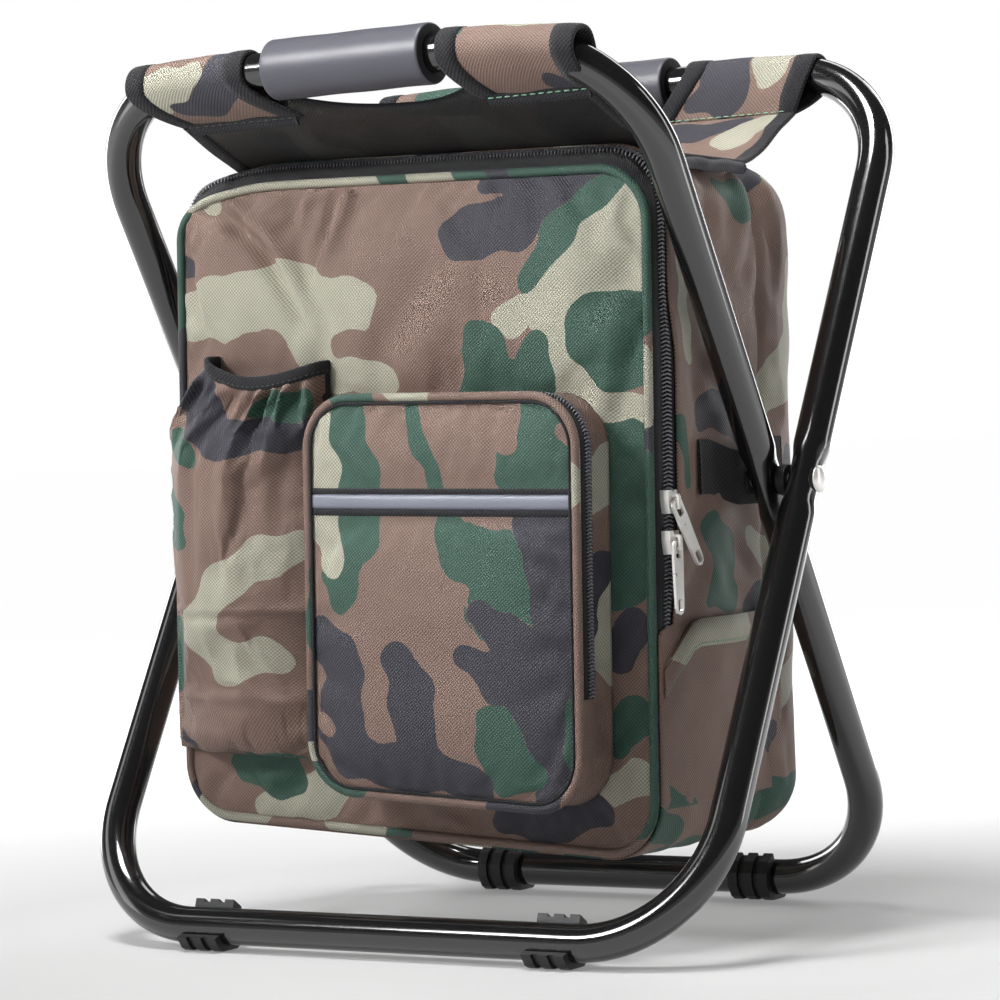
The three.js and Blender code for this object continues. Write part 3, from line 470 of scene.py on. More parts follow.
def plug(tree, made, inputs):
    """Sets the inputs of a node to values, or links them to other nodes."""
    for key, value in inputs.items():
        if isinstance(value, bpy.types.NodeSocket):
            tree.links.new(value, made.inputs[key])
        else:
            made.inputs[key].default_value = value
    return made


def node(tree, kind, inputs=None, **props):
    made = tree.nodes.new(kind)
    for key, value in props.items():
        setattr(made, key, value)
    return plug(tree, made, inputs or {})


def math_node(tree, operation, a, b=0.0):
    return node(tree, "ShaderNodeMath", {0: a, 1: b}, operation=operation).outputs[0]


def scaled(tree, value, factor, add):
    made = node(tree, "ShaderNodeMath", {0: value, 1: factor, 2: add}, operation="MULTIPLY_ADD")
    return made.outputs[0]


def noise(tree, place, scale, detail, rough=0.5):
    inputs = {"Vector": place, "Scale": scale, "Detail": detail, "Roughness": rough}
    return node(tree, "ShaderNodeTexNoise", inputs).outputs[0]


def ramp(tree, value, stops):
    made = node(tree, "ShaderNodeValToRGB", {0: value})
    elements = made.color_ramp.elements
    for element, (place, shade) in zip(elements, stops):
        element.position = place
        element.color = (*shade, 1)
    return made.outputs[0]


def mix(tree, factor, a, b, blend="MIX"):
    made = node(tree, "ShaderNodeMix", data_type="RGBA", blend_type=blend)
    a, b = ((*c, 1) if isinstance(c, tuple) else c for c in (a, b))
    return plug(tree, made, {0: factor, 6: a, 7: b}).outputs[2]


def shaded(tree, colour, light):
    """A colour darkened or lit by a height or tone."""
    grey = node(tree, "ShaderNodeCombineColor", {0: light, 1: light, 2: light}).outputs[0]
    return mix(tree, 1.0, colour, grey, "MULTIPLY")


def bump(tree, shader, height, distance, strength, before=None):
    made = node(tree, "ShaderNodeBump", {"Height": height, "Distance": distance, "Strength": strength})
    if before is not None:
        tree.links.new(before.outputs[0], made.inputs["Normal"])
    tree.links.new(made.outputs[0], shader.inputs["Normal"])
    return made


def weave(tree, place, period, turn):
    """Height of a plain weave: threads that pass over and under each other."""
    turned = node(tree, "ShaderNodeMapping", {"Vector": place, "Rotation": (0, 0, turn)}).outputs[0]
    split = node(tree, "ShaderNodeSeparateXYZ", {0: turned})
    k = 2 * math.pi / period
    a, b = (math_node(tree, "SINE", math_node(tree, "MULTIPLY", split.outputs[i], k)) for i in (0, 1))
    return scaled(tree, math_node(tree, "MULTIPLY", a, b), 0.5, 0.5)


def srgb(r, g, b):
    return tuple((c / 255 / 12.92) if c <= 10 else ((c / 255 + 0.055) / 1.055) ** 2.4 for c in (r, g, b))


BROWN = srgb(115, 93, 83)
PRINT = {"khaki": srgb(154, 152, 136), "green": srgb(43, 75, 63), "charcoal": srgb(45, 44, 53)}


def camouflage(name, shade=1.0, period=0.0018):
    """Woodland print in four colours on a coarse plain weave; the mesh holds the print's outlines."""
    made, tree, shader = material(name)
    place = node(tree, "ShaderNodeTexCoord").outputs["UV"]
    bleed = math_node(tree, "SUBTRACT", noise(tree, place, 420.0, 2.0), 0.5)
    colour = BROWN
    for layer, tint in PRINT.items():
        edge = node(tree, "ShaderNodeAttribute", attribute_name=layer).outputs["Fac"]
        inside = math_node(tree, "LESS_THAN", math_node(tree, "ADD", edge, bleed), 0.0)
        colour = mix(tree, inside, colour, tint)
    threads = weave(tree, place, period, 0.06)
    worn = scaled(tree, noise(tree, place, 60.0, 4.0, 0.6), 0.3, 0.85)
    lit = math_node(tree, "MULTIPLY", scaled(tree, threads, 0.95 * shade, 0.5 * shade), worn)
    plug(tree, shader, {"Base Color": shaded(tree, colour, lit), "Specular IOR Level": 0.45,
                        "Roughness": scaled(tree, threads, -0.1, 0.66),
                        "Sheen Weight": 0.06, "Sheen Roughness": 0.4})
    wrinkled = bump(tree, shader, noise(tree, place, 34.0, 3.0, 0.55), 0.0022, 0.35)
    bump(tree, shader, threads, 0.0004, 0.75, wrinkled)
    return made


def ribbed_cloth(name, colour, period, ratio):
    """Plain webbing or tape with a fine rib; the ratio says how far its threads stand out in tone."""
    made, tree, shader = material(name)
    place = node(tree, "ShaderNodeTexCoord").outputs["UV"]
    threads = weave(tree, place, period, 0.0)
    tone = math_node(tree, "ADD", noise(tree, place, 90.0, 3.0), 0.5)
    lift = math_node(tree, "MULTIPLY", scaled(tree, threads, ratio, 0.7), tone)
    plug(tree, shader, {"Base Color": shaded(tree, colour, lift), "Roughness": 0.85,
                        "Specular IOR Level": 0.3, "Sheen Weight": 0.08})
    bump(tree, shader, threads, 0.00035, 0.9)
    return made


def surfaced(name, colour, rough, grain, depth, spread=0.12, metal=0.0, coat=0.0, specular=0.5):
    """Solid material with slight unevenness in colour, gloss and height."""
    made, tree, shader = material(name)
    uneven = noise(tree, node(tree, "ShaderNodeTexCoord").outputs["Object"], grain, 5.0, 0.6)
    dark = tuple(c * (1 - spread) for c in colour)
    light = tuple(min(1, c * (1 + spread)) for c in colour)
    plug(tree, shader, {"Base Color": ramp(tree, uneven, [(0.3, dark), (0.7, light)]),
                        "Roughness": scaled(tree, uneven, rough * 0.5, rough * 0.75),
                        "Metallic": metal, "Specular IOR Level": specular})
    if coat:
        plug(tree, shader, {"Coat Weight": coat, "Coat Roughness": 0.05})
    bump(tree, shader, uneven, depth, 0.6)
    return made


PAINT = surfaced("black_gloss_paint", srgb(16, 16, 17), 0.13, 260.0, 0.00003, 0.2, coat=0.5, specular=0.9)
FOAM_GRIP = surfaced("grey_foam_rubber", srgb(72, 72, 80), 0.42, 900.0, 0.00008, 0.1)
# Near-black colour for the grips' end faces, much darker than their grey sides
FOAM_DARK_ENDS = surfaced("dark_foam_end", srgb(22, 22, 24), 0.9, 700.0, 0.0003, 0.3)
PLASTIC = surfaced("black_moulded_plastic", srgb(26, 26, 28), 0.5, 700.0, 0.00008, 0.15)
NICKEL = surfaced("bright_nickel", srgb(234, 232, 228), 0.3, 120.0, 0.00001, 0.04, metal=0.62)
# Nickel darkened almost to black for the spacers and washers: painted shade for the gap between the legs
SHADED_NICKEL = surfaced("nickel_painted_shade", srgb(46, 46, 50), 0.4, 160.0, 0.00001, 0.1, metal=0.5)
# Light grey coil: its own colour with the highlights on the teeth partly painted in, in part a painted
# highlight
COIL = surfaced("zip_coil", srgb(112, 112, 118), 0.28, 600.0, 0.00003, 0.15)
REFLECTIVE = surfaced("reflective_tape", srgb(114, 117, 129), 0.42, 1500.0, 0.00005, 0.08)
FILM = surfaced("silver_film", srgb(196, 200, 204), 0.3, 60.0, 0.0012, 0.08, metal=0.75)
THREAD_GREEN = surfaced("green_thread", srgb(112, 152, 126), 0.8, 2500.0, 0.0001)
THREAD_BLACK = surfaced("black_thread", srgb(58, 60, 58), 0.8, 2500.0, 0.0001)
TAPE = ribbed_cloth("black_bias_tape", srgb(22, 22, 25), 0.0021, 1.8)
WEBBING = ribbed_cloth("black_webbing", srgb(30, 30, 33), 0.0024, 0.5)
ZIP_TAPE = ribbed_cloth("black_zip_tape", srgb(30, 30, 33), 0.0014, 0.6)
ROLL_TAPE = ribbed_cloth("grey_edge_roll", srgb(58, 58, 62), 0.0016, 1.4)
CAMO = camouflage("woodland_camouflage")
CAMO_PIPING = camouflage("woodland_piping", 0.9, 0.0017)
# Near-black copy of the print for the sling's underside: painted shade where the seat shadows it
CAMO_SHADED_UNDERSIDE = camouflage("woodland_underside_painted_shade", 0.06)


# Woodland print: each blot is a chain of round beads (across, up, radius) in millimetres on the cloth

def bead_chain(u, v, beads, soft=7.0):
    """Distance to a chain of beads, below zero inside it."""
    total = np.full(u.shape, 1e3)
    for (ax, ay, ar), (bx, by, br) in zip(beads, beads[1:]):
        dx, dy = bx - ax, by - ay
        t = np.clip(((u - ax) * dx + (v - ay) * dy) / max(dx * dx + dy * dy, 1e-6), 0, 1)
        d = np.hypot(u - ax - t * dx, v - ay - t * dy) - ar - t * (br - ar)
        h = np.clip(0.5 + 0.5 * (total - d) / soft, 0, 1)
        total = total + (d - total) * h - soft * h * (1 - h)
    return total


def scatter(seed, low, high, keep_off=None, turn=0.0, size=1.0):
    """Random blots over a rectangle of cloth; a brown one covers what lies under it."""
    rng = np.random.RandomState(seed)
    made = []
    for k in range(int((high[0] - low[0]) * (high[1] - low[1]) / (47 * size) ** 2) + 3):
        x, y = (low[i] + (high[i] - low[i]) * rng.rand() for i in (0, 1))
        way = turn + rng.normal(0, 0.5)
        beads = []
        for _ in range(rng.randint(2, 5)):
            r = (8 + 9 * rng.rand()) * size
            beads.append((x, y, r))
            way += rng.normal(0, 0.7)
            x += math.cos(way) * r * 1.7
            y += math.sin(way) * r * 1.4
        if keep_off is None or not all(a < c < b for a, b, c in zip(*keep_off, beads[0])):
            made.append((("khaki", "green", "charcoal", "brown")[k % 4], beads))
    return made


def print_blots(obj, blots):
    """Writes how far each corner of the mesh lies from the edges of each colour."""
    mesh = obj.data
    uv = np.empty(len(mesh.loops) * 2, np.float32)
    mesh.uv_layers["UVMap"].data.foreach_get("uv", uv)
    a, b = uv[0::2].astype(float) * 1000, uv[1::2].astype(float) * 1000
    u = a + 1.6 * np.sin(b * 0.13) + 0.9 * np.sin(b * 0.31 + 1)
    v = b + 1.6 * np.sin(a * 0.11) + 0.9 * np.sin(a * 0.29)
    fields = {layer: np.full(len(u), 40.0) for layer in PRINT}
    for colour, beads in blots:
        xs, ys, rs = zip(*beads)
        pad = max(rs) + 30
        near = (u > min(xs) - pad) & (u < max(xs) + pad) & (v > min(ys) - pad) & (v < max(ys) + pad)
        d = bead_chain(u[near], v[near], beads)
        for layer, field in fields.items():
            field[near] = np.minimum(field[near], d) if layer == colour else np.maximum(field[near], -d)
    for layer, field in fields.items():
        mesh.attributes.new(layer, "FLOAT", "CORNER").data.foreach_set("value", field.astype(np.float32))
    return obj


def stretch(colour, start, stop, radius=9):
    """A blot that covers a stretch of piping."""
    return colour, [(start, 7, radius), (stop, 7, radius)]


PANEL_BLOTS = [
    ("khaki", [(-140, 304, 11), (-104, 313, 15), (-62, 317, 15), (-24, 309, 14)]),
    ("khaki", [(-62, 308, 16), (-44, 286, 13), (-10, 272, 8)]),
    ("brown", [(-98, 290, 8), (-75, 290, 9)]),
    ("brown", [(-34, 293, 6), (10, 288, 9)]),
    ("khaki", [(-118, 370, 5), (-114, 366, 5)]),
    ("charcoal", [(-140, 332, 9), (-128, 331, 4)]),
    ("khaki", [(134, 362, 14), (112, 342, 13), (84, 318, 9), (63, 301, 7)]),
    ("khaki", [(136, 350, 16), (120, 325, 20), (92, 300, 14), (88, 270, 13), (112, 260, 8), (140, 262, 6)]),
    ("charcoal", [(38, 341, 13), (68, 350, 12), (112, 374, 10)]),
    ("charcoal", [(48, 366, 5), (74, 369, 5)]),
    ("green", [(122, 370, 6), (92, 342, 8), (74, 322, 6)]),
    ("green", [(50, 290, 12), (46, 262, 13), (70, 262, 16), (78, 290, 8)]),
    ("green", [(119, 292, 24), (134, 296, 20)]),
    ("green", [(128, 246, 10), (112, 236, 16), (122, 205, 18), (120, 178, 12)]),
    ("charcoal", [(128, 160, 8), (118, 146, 9)]),
    ("green", [(126, 118, 10), (118, 108, 9)]),
    ("khaki", [(128, 92, 8), (112, 84, 7)]),
    ("charcoal", [(56, 66, 8), (84, 68, 10), (106, 72, 8)]),
    ("khaki", [(-84, 60, 9), (-52, 70, 11), (-36, 86, 9)]),
    ("green", [(-98, 84, 10), (-74, 76, 12)]),
    ("khaki", [(10, 50, 5), (30, 52, 5)]),
    ("green", [(-137, 250, 8), (-138, 210, 8)]),
]
POCKET_BLOTS = [
    ("green", [(-14, 262, 12), (-8, 232, 13), (-4, 204, 12), (-16, 182, 10), (-13, 170, 8)]),
    ("khaki", [(-28, 256, 8), (-27, 232, 9), (-26, 208, 8), (-20, 187, 8)]),
    ("green", [(26, 262, 4), (32, 242, 4), (39, 220, 4)]),
    ("green", [(100, 262, 12), (92, 248, 10), (84, 234, 12), (106, 232, 12)]),
    ("brown", [(78, 258, 9), (80, 246, 7)]),
    ("green", [(48, 214, 8), (56, 194, 14), (76, 190, 14), (72, 168, 13), (94, 163, 8)]),
    ("brown", [(58, 212, 5), (64, 210, 4)]),
    ("charcoal", [(92, 210, 10), (102, 196, 15), (104, 176, 13), (108, 150, 10)]),
    ("charcoal", [(66, 166, 7), (82, 154, 9), (104, 140, 14)]),
    ("charcoal", [(56, 144, 6), (72, 138, 10), (96, 128, 14), (100, 96, 12), (98, 82, 9)]),
    ("green", [(72, 116, 10), (78, 98, 14), (90, 92, 6)]),
    ("green", [(114, 124, 6), (114, 96, 6)]),
    ("charcoal", [(-30, 152, 10), (-16, 140, 12), (-16, 112, 14), (-12, 96, 12), (22, 92, 11), (58, 86, 9)]),
    ("charcoal", [(19, 142, 10), (26, 122, 11), (32, 100, 10)]),
    ("brown", [(-30, 112, 3), (-22, 106, 4)]),
]
BOTTLE_BLOTS = [
    ("charcoal", [(-132, 268, 10), (-112, 258, 10), (-92, 250, 9), (-52, 252, 10)]),
    ("green", [(-76, 266, 6), (-52, 264, 8)]),
    ("brown", [(-104, 272, 5), (-92, 270, 4)]),
    ("green", [(-126, 244, 7), (-116, 240, 6)]),
    ("green", [(-136, 216, 13), (-122, 204, 10), (-118, 198, 5)]),
    ("khaki", [(-50, 196, 7), (-70, 188, 9), (-92, 176, 10), (-106, 152, 10), (-90, 134, 10), (-66, 138, 9)]),
    ("charcoal", [(-134, 92, 5), (-126, 88, 4)]),
    ("green", [(-90, 84, 8), (-66, 82, 10)]),
    ("green", [(-140, 150, 6), (-139, 120, 5)]),
]
SIDE_BLOTS = [
    ("green", [(-2, 361, 6), (14, 358, 9), (27, 356, 6)]),
    ("khaki", [(-56, 372, 5), (-52, 330, 5), (-50, 284, 5)]),
    ("khaki", [(66, 326, 9), (68, 298, 9), (58, 276, 13), (34, 264, 12)]),
    ("charcoal", [(-34, 258, 9), (-12, 255, 9), (8, 244, 7)]),
    ("green", [(-28, 200, 9), (-14, 188, 11), (-26, 172, 7), (-6, 166, 8)]),
    ("khaki", [(16, 196, 6), (28, 188, 8)]),
    ("green", [(-60, 250, 6), (-54, 226, 5)]),
    ("green", [(-66, 66, 8), (-44, 62, 7)]),
    ("charcoal", [(60, 230, 10), (74, 210, 9)]),
    ("green", [(48, 168, 12), (66, 150, 10)]),
    ("khaki", [(44, 116, 9), (64, 128, 8)]),
    ("green", [(2, 64, 6), (34, 66, 8), (60, 72, 7)]),
]
SLIP_BLOTS = [
    ("khaki", [(48, 132, 9), (62, 142, 8)]),
    ("charcoal", [(30, 100, 8), (44, 88, 10)]),
    ("green", [(-76, 78, 7), (-52, 74, 6)]),
    ("khaki", [(-84, 124, 7), (-72, 138, 6)]),
]
HEM_BLOTS = [
    ("khaki", [(-80, 150, 10), (-40, 154, 14), (-8, 154, 10)]),
    ("green", [(14, 154, 9), (30, 152, 8)]),
]
SLEEVE_BLOTS = {
    "front_left": [("khaki", [(64, 66, 9), (46, 63, 9), (32, 59, 7)]), ("khaki", [(64, 75, 8), (54, 74, 6)]),
                   ("charcoal", [(10, 50, 9), (14, 66, 10), (30, 78, 8), (48, 80, 6)])],
    "front_right": [("green", [(3, 50, 5), (8, 47, 4)]), ("khaki", [(24, 38, 4), (52, 37, 4)]),
                    ("charcoal", [(50, 78, 7), (60, 86, 6)])],
    "rear_right": [("charcoal", [(15, 46, 9), (24, 57, 14), (28, 70, 13), (36, 82, 8), (16, 84, 6)]),
                   ("khaki", [(34, 42, 7), (58, 44, 9)]),
                   ("khaki", [(47, 50, 8), (54, 58, 10), (54, 67, 8), (52, 74, 3)])],
    "rear_left": [("green", [(20, 54, 10), (44, 60, 12)]), ("khaki", [(60, 84, 9), (40, 90, 8)]),
                  ("green", [(12, 20, 10), (34, 14, 9)]), ("charcoal", [(54, 26, 11), (66, 10, 8)])],
}
SLING_BLOTS = [
    ("brown", [(214, 200, 30), (182, 224, 34), (170, 190, 20)]),
    ("charcoal", [(212, 184, 11), (206, 196, 10), (214, 208, 8), (221, 221, 4)]),
    ("khaki", [(220, 233, 5), (208, 228, 10), (196, 224, 11), (187, 228, 7)]),
    ("charcoal", [(182, 188, 9), (172, 196, 10)]),
]
PIPING_BLOTS = [
    stretch("green", 150, 300, 12), stretch("khaki", 330, 352), stretch("green", 372, 506),
    stretch("charcoal", 513, 517, 8), stretch("green", 526, 532), stretch("khaki", 545, 560),
    stretch("green", 572, 576), stretch("khaki", 588, 690), stretch("green", 704, 748),
    stretch("charcoal", 768, 846), stretch("green", 862, 884), stretch("charcoal", 900, 960),
    stretch("khaki", 1010, 1040),
]


# How pieces hang and what they ride on

def corner_sag(x):
    """How far the top left corner of the bag hangs below its plain outline."""
    return 4.6 * np.exp(-((x + 118) / 22) ** 2)


def settle(obj):
    """Turns a piece of the bag a little, because the soft bag hangs askew with its right corner lowest."""
    p = points_of(obj)
    x, z = p[:, 0].copy(), p[:, 2].copy()
    p[:, 0] += (z - PIVOT) * math.sin(ASKEW)
    p[:, 2] -= x * (math.sin(ASKEW) + LOW_TILT * (1 - step(z, 60, 160)))
    p[:, 2] -= corner_sag(x) * step(z, 335, 372)
    move_points(obj, p)


def label(obj, replaced):
    if replaced:
        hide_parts(*replaced)
    return obj


def dress(obj, body, slot, *replaced, askew=True):
    if askew and body in ("bag", "flap"):
        settle(obj)
    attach(obj, body)
    return label(obj, replaced)


def bend_with_flap(obj, slot, *replaced, reach=40.0):
    settle(obj)
    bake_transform(obj)
    return label(obj, replaced)


def bend_with_frame(obj, slot, *replaced):
    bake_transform(obj)
    return label(obj, replaced)


# Steel loops, with the legs pressed flat at the rivets
for loop, (half, bend, lean) in LOOPS.items():
    line = outline(-half, half, -BELOW, ABOVE, bend, 40, 110, 22)
    points = swept(in_xz(line, 0), outward(line), ALONG_Y, circle(TUBE, 40))
    height = np.abs(line[:, 1])
    press = 1 - FLAT_PRESS * (1 - step(height, FLAT, FLAT_END))
    leg = np.sign(line[:, 0]) * half
    near = height < FLAT_END + 6
    points[near, :, 0] = leg[near, None] + (points[near, :, 0] - leg[near, None]) * press[near, None]
    obj = Sewing().grid(stand(points, lean), wrap_i=True, wrap_j=True).build(f"{loop}_loop", PAINT)
    dress(obj, f"{loop}_frame", "black_tube", f"{loop}_frame_tube", f"{loop}_joint_sleeve")

# Foam grips on the top rails
for end, loop in (("rear", "outer"), ("front", "inner")):
    rim = [(GRIP - 0.7, -GRIP_END), (GRIP - 0.2, 0.3 - GRIP_END), (GRIP, 1 - GRIP_END), (GRIP, 3 - GRIP_END)]
    profile = rim + [(GRIP - 0.05 + 0.12 * math.sin(x * 0.16), x) for x in range(-38, 39, 4)]
    profile += [(r, -x) for r, x in reversed(rim)]
    ends = [(GRIP_BORE, -GRIP_END), rim[0]], [profile[-1], (GRIP_BORE, GRIP_END)]
    grip = Sewing()
    # The end faces take the near-black colour, the sides the grey one
    for shape, mat in ((profile, 0), (ends[0], 1), (ends[1], 1)):
        turned = lathe(shape, 56) + [GRIP_SHIFT[end], 0, ABOVE]
        grip.grid(stand(turned, LOOPS[loop][2]), wrap_j=True, mat=mat)
    obj = grip.build(f"{end}_foam_grip", FOAM_GRIP, FOAM_DARK_ENDS)
    dress(obj, f"{loop}_frame", "foam_grip", f"{end}_grip")

# Rivets, spacers and washers
tail = [(0.01, 2.2), (3.4, 2.1), (4.9, 1.3), (5.2, 0.4), (5.2, 0), (3, 0)]
head = [(3, 0), (6.4, 0), (6.5, 0.4), (6.1, 1.2), (5.0, 1.9), (3.2, 2.4), (1.2, 2.6), (0.01, 2.6)]
rivet = [(r, RIVET_TAIL - x) for r, x in tail] + [(r, RIVET_HEAD + x) for r, x in head]
# The spacers and washers take the darkened nickel: painted shade between the legs
TURNED = {"pivot_rivet": (rivet, NICKEL), "leg_spacer": (collar(7.5, 162.5, 167.5, 0.4), SHADED_NICKEL),
          "pivot_washer": (collar(7.0, 146.1, 147.5, 0.2), SHADED_NICKEL)}
for side, sign in SIDES:
    for name, (profile, metal) in TURNED.items():
        turned = lathe(profile, 40) * [sign, 1, 1] + [0, 0, PIVOT]
        obj = Sewing().grid(turned, wrap_j=True, flip=sign < 0).build(f"{side}_{name}_turned", metal)
        bevel(obj, 0.15, 1)
        dress(obj, "outer_frame", "nickel", f"{side}_{name}")


# Sling: sleeves round the rails and one cloth between them

def sleeve_section():
    """Round a rail and down to the seam, in (out of the loop's plane, up)."""
    a = np.linspace(-math.pi / 2, 1.5 * math.pi, 36, endpoint=False)
    below = np.clip(-np.sin(a), 0, 1)
    width = np.where(below > 0, SHEATH * (1 - below ** 1.7) + 0.6 * below, SHEATH * np.abs(np.cos(a)))
    up = np.where(below > 0, -STITCH * below, SHEATH * np.sin(a))
    return xyz(np.sign(np.round(np.cos(a), 6)) * width, up)


def hang_over(name, x, z):
    """Sideways pull of the seat on a sleeve, from nothing at the rail to the whole at the seam."""
    return np.interp(np.abs(x), SLEEVES[name], SEAM_SHIFT[name]) * np.clip(-z / STITCH, 0, 1) ** 1.3


def droop(name, x, z):
    """How far a sleeve sinks towards its outer end, where the rail bends down inside it."""
    start, stop = SLEEVES[name]
    return DROOP[name] * ((np.abs(x) - start) / (stop - start)) ** 2 * (z + STITCH) / (STITCH + SHEATH)


def sleeve_cloth(sleeve, sign, lean):
    x = np.linspace(*SLEEVES[sleeve], 40)[:, None]
    swell = 1 + 0.03 * waves(x, np.arange(len(SECTION)) * 2.0, 5 + sign, 30)
    reach = sign * x + hang_over(sleeve, x, SECTION[:, 1])
    up = SECTION[:, 1] * swell + ABOVE - droop(sleeve, x, SECTION[:, 1])
    cloth = Sewing().grid(stand(xyz(reach, SECTION[:, 0] * swell, up), lean), wrap_j=True, flip=sign > 0)
    obj = solidify(cloth.build(f"{sleeve}_sleeve", CAMO), 1.2)
    return print_blots(obj, SLEEVE_BLOTS[sleeve])


def sleeve_binding(sleeve, name, place, sign, inward, lean):
    """Tape folded over one end of a sleeve."""
    width = 11.0
    out, up = SECTION.T
    round_way = tangents(SECTION, closed=True)
    facing = tilted(xyz(0, round_way[:, 1], -round_way[:, 0]), lean)
    sink = droop(sleeve, place, up)
    ring = xyz(sign * place + hang_over(sleeve, place, up), out, up + ABOVE - sink)
    tilt = (sink - droop(sleeve, place + sign * inward * width, up)) / width
    along = tilted(xyz(inward, 0, tilt), lean)
    band = sweep(stand(ring, lean) - facing * 0.6, along, facing, tape_section(width, 2.3), closed=True)
    return band.build(f"{sleeve}_sleeve_{name}_binding", TAPE)


SECTION = sleeve_section()
for end, loop in (("front", "inner"), ("rear", "outer")):
    lean = LOOPS[loop][2]
    body = f"{loop}_frame"
    for side, sign in SIDES:
        sleeve = f"{end}_{side}"
        start, stop = SLEEVES[sleeve]
        obj = sleeve_cloth(sleeve, sign, lean)
        dress(obj, body, "camouflage_cloth", f"{sleeve}_rail_sleeve")
        for name, place, inward in (("inner", start, sign), ("outer", stop, -sign)):
            obj = sleeve_binding(sleeve, name, place, sign, inward, lean)
            dress(obj, body, "black_webbing")
        reach = np.linspace(start + 3, stop - 4, 60)
        reach = sign * reach + hang_over(sleeve, reach, -STITCH)
        if end == "front":
            edge = stand(xyz(reach, -1.6, ABOVE - STITCH + 2.4), lean)
            tape = sweep(edge, tilted(-ALONG_Z, lean), tilted(-ALONG_Y, lean), tape_section(6.5, 1.8))
            dress(tape.build(f"{sleeve}_seam_tape", TAPE), body, "black_webbing")
        thread = THREAD_BLACK if sleeve == "front_left" else THREAD_GREEN
        for layer in (-1, 1):
            depth = 2.7 if end == "front" and layer < 0 else 1.7
            line = stand(xyz(reach, layer * depth, ABOVE - STITCH + 0.6), lean)
            row = stitches(line, tilted(ALONG_Y * layer, lean), 3.2, 4.6, 0.42)
            dress(row.build(f"{sleeve}_seam_{layer + 1}", thread), body, "camouflage_cloth")

# Where the sling's seams lie, from the middle of the stool and from the floor
SEAM_Y = (ABOVE - STITCH) * math.sin(LEAN)
SEAM_Z = PIVOT + (ABOVE - STITCH) * math.cos(LEAN)


def sling_height(y):
    """Flat on the bag, up to the seams at both ends and on over them."""
    y = np.abs(y)
    slope = np.interp(y, [0, 44, SEAM_Y, SEAM_Y + 10], [SEAT, SEAT, SEAM_Z, SEAM_Z + 17.3])
    soft = np.mean([np.interp(y + d, [0, 44, SEAM_Y, SEAM_Y + 8], [SEAT, SEAT, SEAM_Z, SEAM_Z + 3.2])
                    for d in np.linspace(-7, 7, 9)], 0)
    return np.where(y < SEAM_Y - 8, soft, slope) - 1.2 * hump(y, 46, SEAM_Y)


def sling_edges(y):
    """Left and right edges; the bag's weight pulls the seat askew."""
    left = np.interp(y, [-SEAM_Y, -44, 44, SEAM_Y], [-105, -108, -121, -128])
    return left, np.interp(y, [-SEAM_Y, -90, -70, -44, 0, 44, SEAM_Y], [130, 133, 136, 135, 131, 127, 122])


def hand_cut(x, end):
    """How far the seat's free edge reaches beyond the seam line under a grip."""
    left, middle, right = CUT[end]
    t = np.where(x < middle, (middle - x) / (middle - left), (x - middle) / (right - middle))
    return (0.3 + 4.9 * np.minimum(t, 1) ** 2.2) * (1 - step(x, right, right + 7)) * step(x, left - 7, left)


def sling_row(v):
    """One line of the seat from its left to its right edge, at a share of the way from front to rear."""
    y = -SEAM_Y + 2 * SEAM_Y * v
    left, right = sling_edges(y)
    x = left + (right - left) * np.linspace(0, 1, 121)
    y = y - hand_cut(x, "front") * max(1 - 8 * v, 0) + hand_cut(x, "rear") * max(8 * v - 7, 0)
    on_bag = 1 - step(np.abs(y), 46, 100)
    slack = step(np.abs(y), 40, 60) * (1 - step(np.abs(y), 88, 102))
    z = sling_height(y) - (x * math.sin(ASKEW) + corner_sag(x)) * on_bag + 0.7 * waves(x, y, 11, 46) * slack
    return xyz(x, y, z)


def edge_binding(name, path, inward):
    t = tangents(path)
    normal = unit(np.cross(t, inward))
    obj = sweep(path, unit(np.cross(normal, t)), normal, tape_section(8.5, 2.5)).build(name, TAPE)
    bend_with_frame(obj, "black_webbing")


rows = np.array([sling_row(v) for v in np.linspace(0, 1, 91)])
# The sling's underside takes the near-black copy of the print, a painted shade under the seat
sling = solidify(Sewing().grid(rows, flip=True).build("sling", CAMO, CAMO_SHADED_UNDERSIDE), 1.3, 0.0)
sling.modifiers["cloth"].material_offset = 1
print_blots(sling, scatter(120, (-20, -20), (260, 290)) + SLING_BLOTS)
bend_with_frame(sling, "camouflage_cloth", "seat_sling")
for side, column, sign in (("left", 0, -1), ("right", -1, 1)):
    edge_binding(f"sling_{side}_binding", rows[:, column], [-sign, 0, 0])
for end, row, sign in (("front", 0, 1), ("rear", -1, -1)):
    cut = (rows[row][:, 0] > CUT[end][0] - 2) & (rows[row][:, 0] < CUT[end][2] + 2)
    edge_binding(f"sling_{end}_cut_binding", rows[row][cut], [0, sign, -0.35])


# Bag: cloth shell from the zip to the back, with a seam where the rear part begins

MOUTH_DEPTHS = [-78, -75.3, -72, -69, -66, -63, -57, -46]


def top_rise(y):
    """Height of the bag's top edge over its plain outline: it leans forward at the zip."""
    return np.interp(y, MOUTH_DEPTHS, [-4, -3, 1.5, 3.6, 4.6, 5.4, 3.6, -1])


def side_rise(y, z):
    """How far the zip's band stands out on the sides, below where the legs pass it."""
    rise = np.interp(y, MOUTH_DEPTHS, [0, -0.6, 0.3, 1.6, 3.2, 3.8, 2.6, 0])
    return rise * step(z, FOLD + 2, FOLD + 30) * (1 - step(z, 280, 318))


def raise_top(obj):
    """Lifts what is sewn round the mouth of the bag to its leaning edge."""
    p = points_of(obj)
    x, y, z = p.T.copy()
    out = xyz(x - np.clip(x, CORNER - HALF, HALF - CORNER), z - np.minimum(z, HIGH - CORNER))
    out /= np.linalg.norm(out, axis=1, keepdims=True) + 1e-6
    up = step(out[:, 1], 0.2, 0.9)
    p[:, [0, 2]] += out * (up * top_rise(y) + (1 - up) * side_rise(y, z))[:, None]
    move_points(obj, p)
    return obj


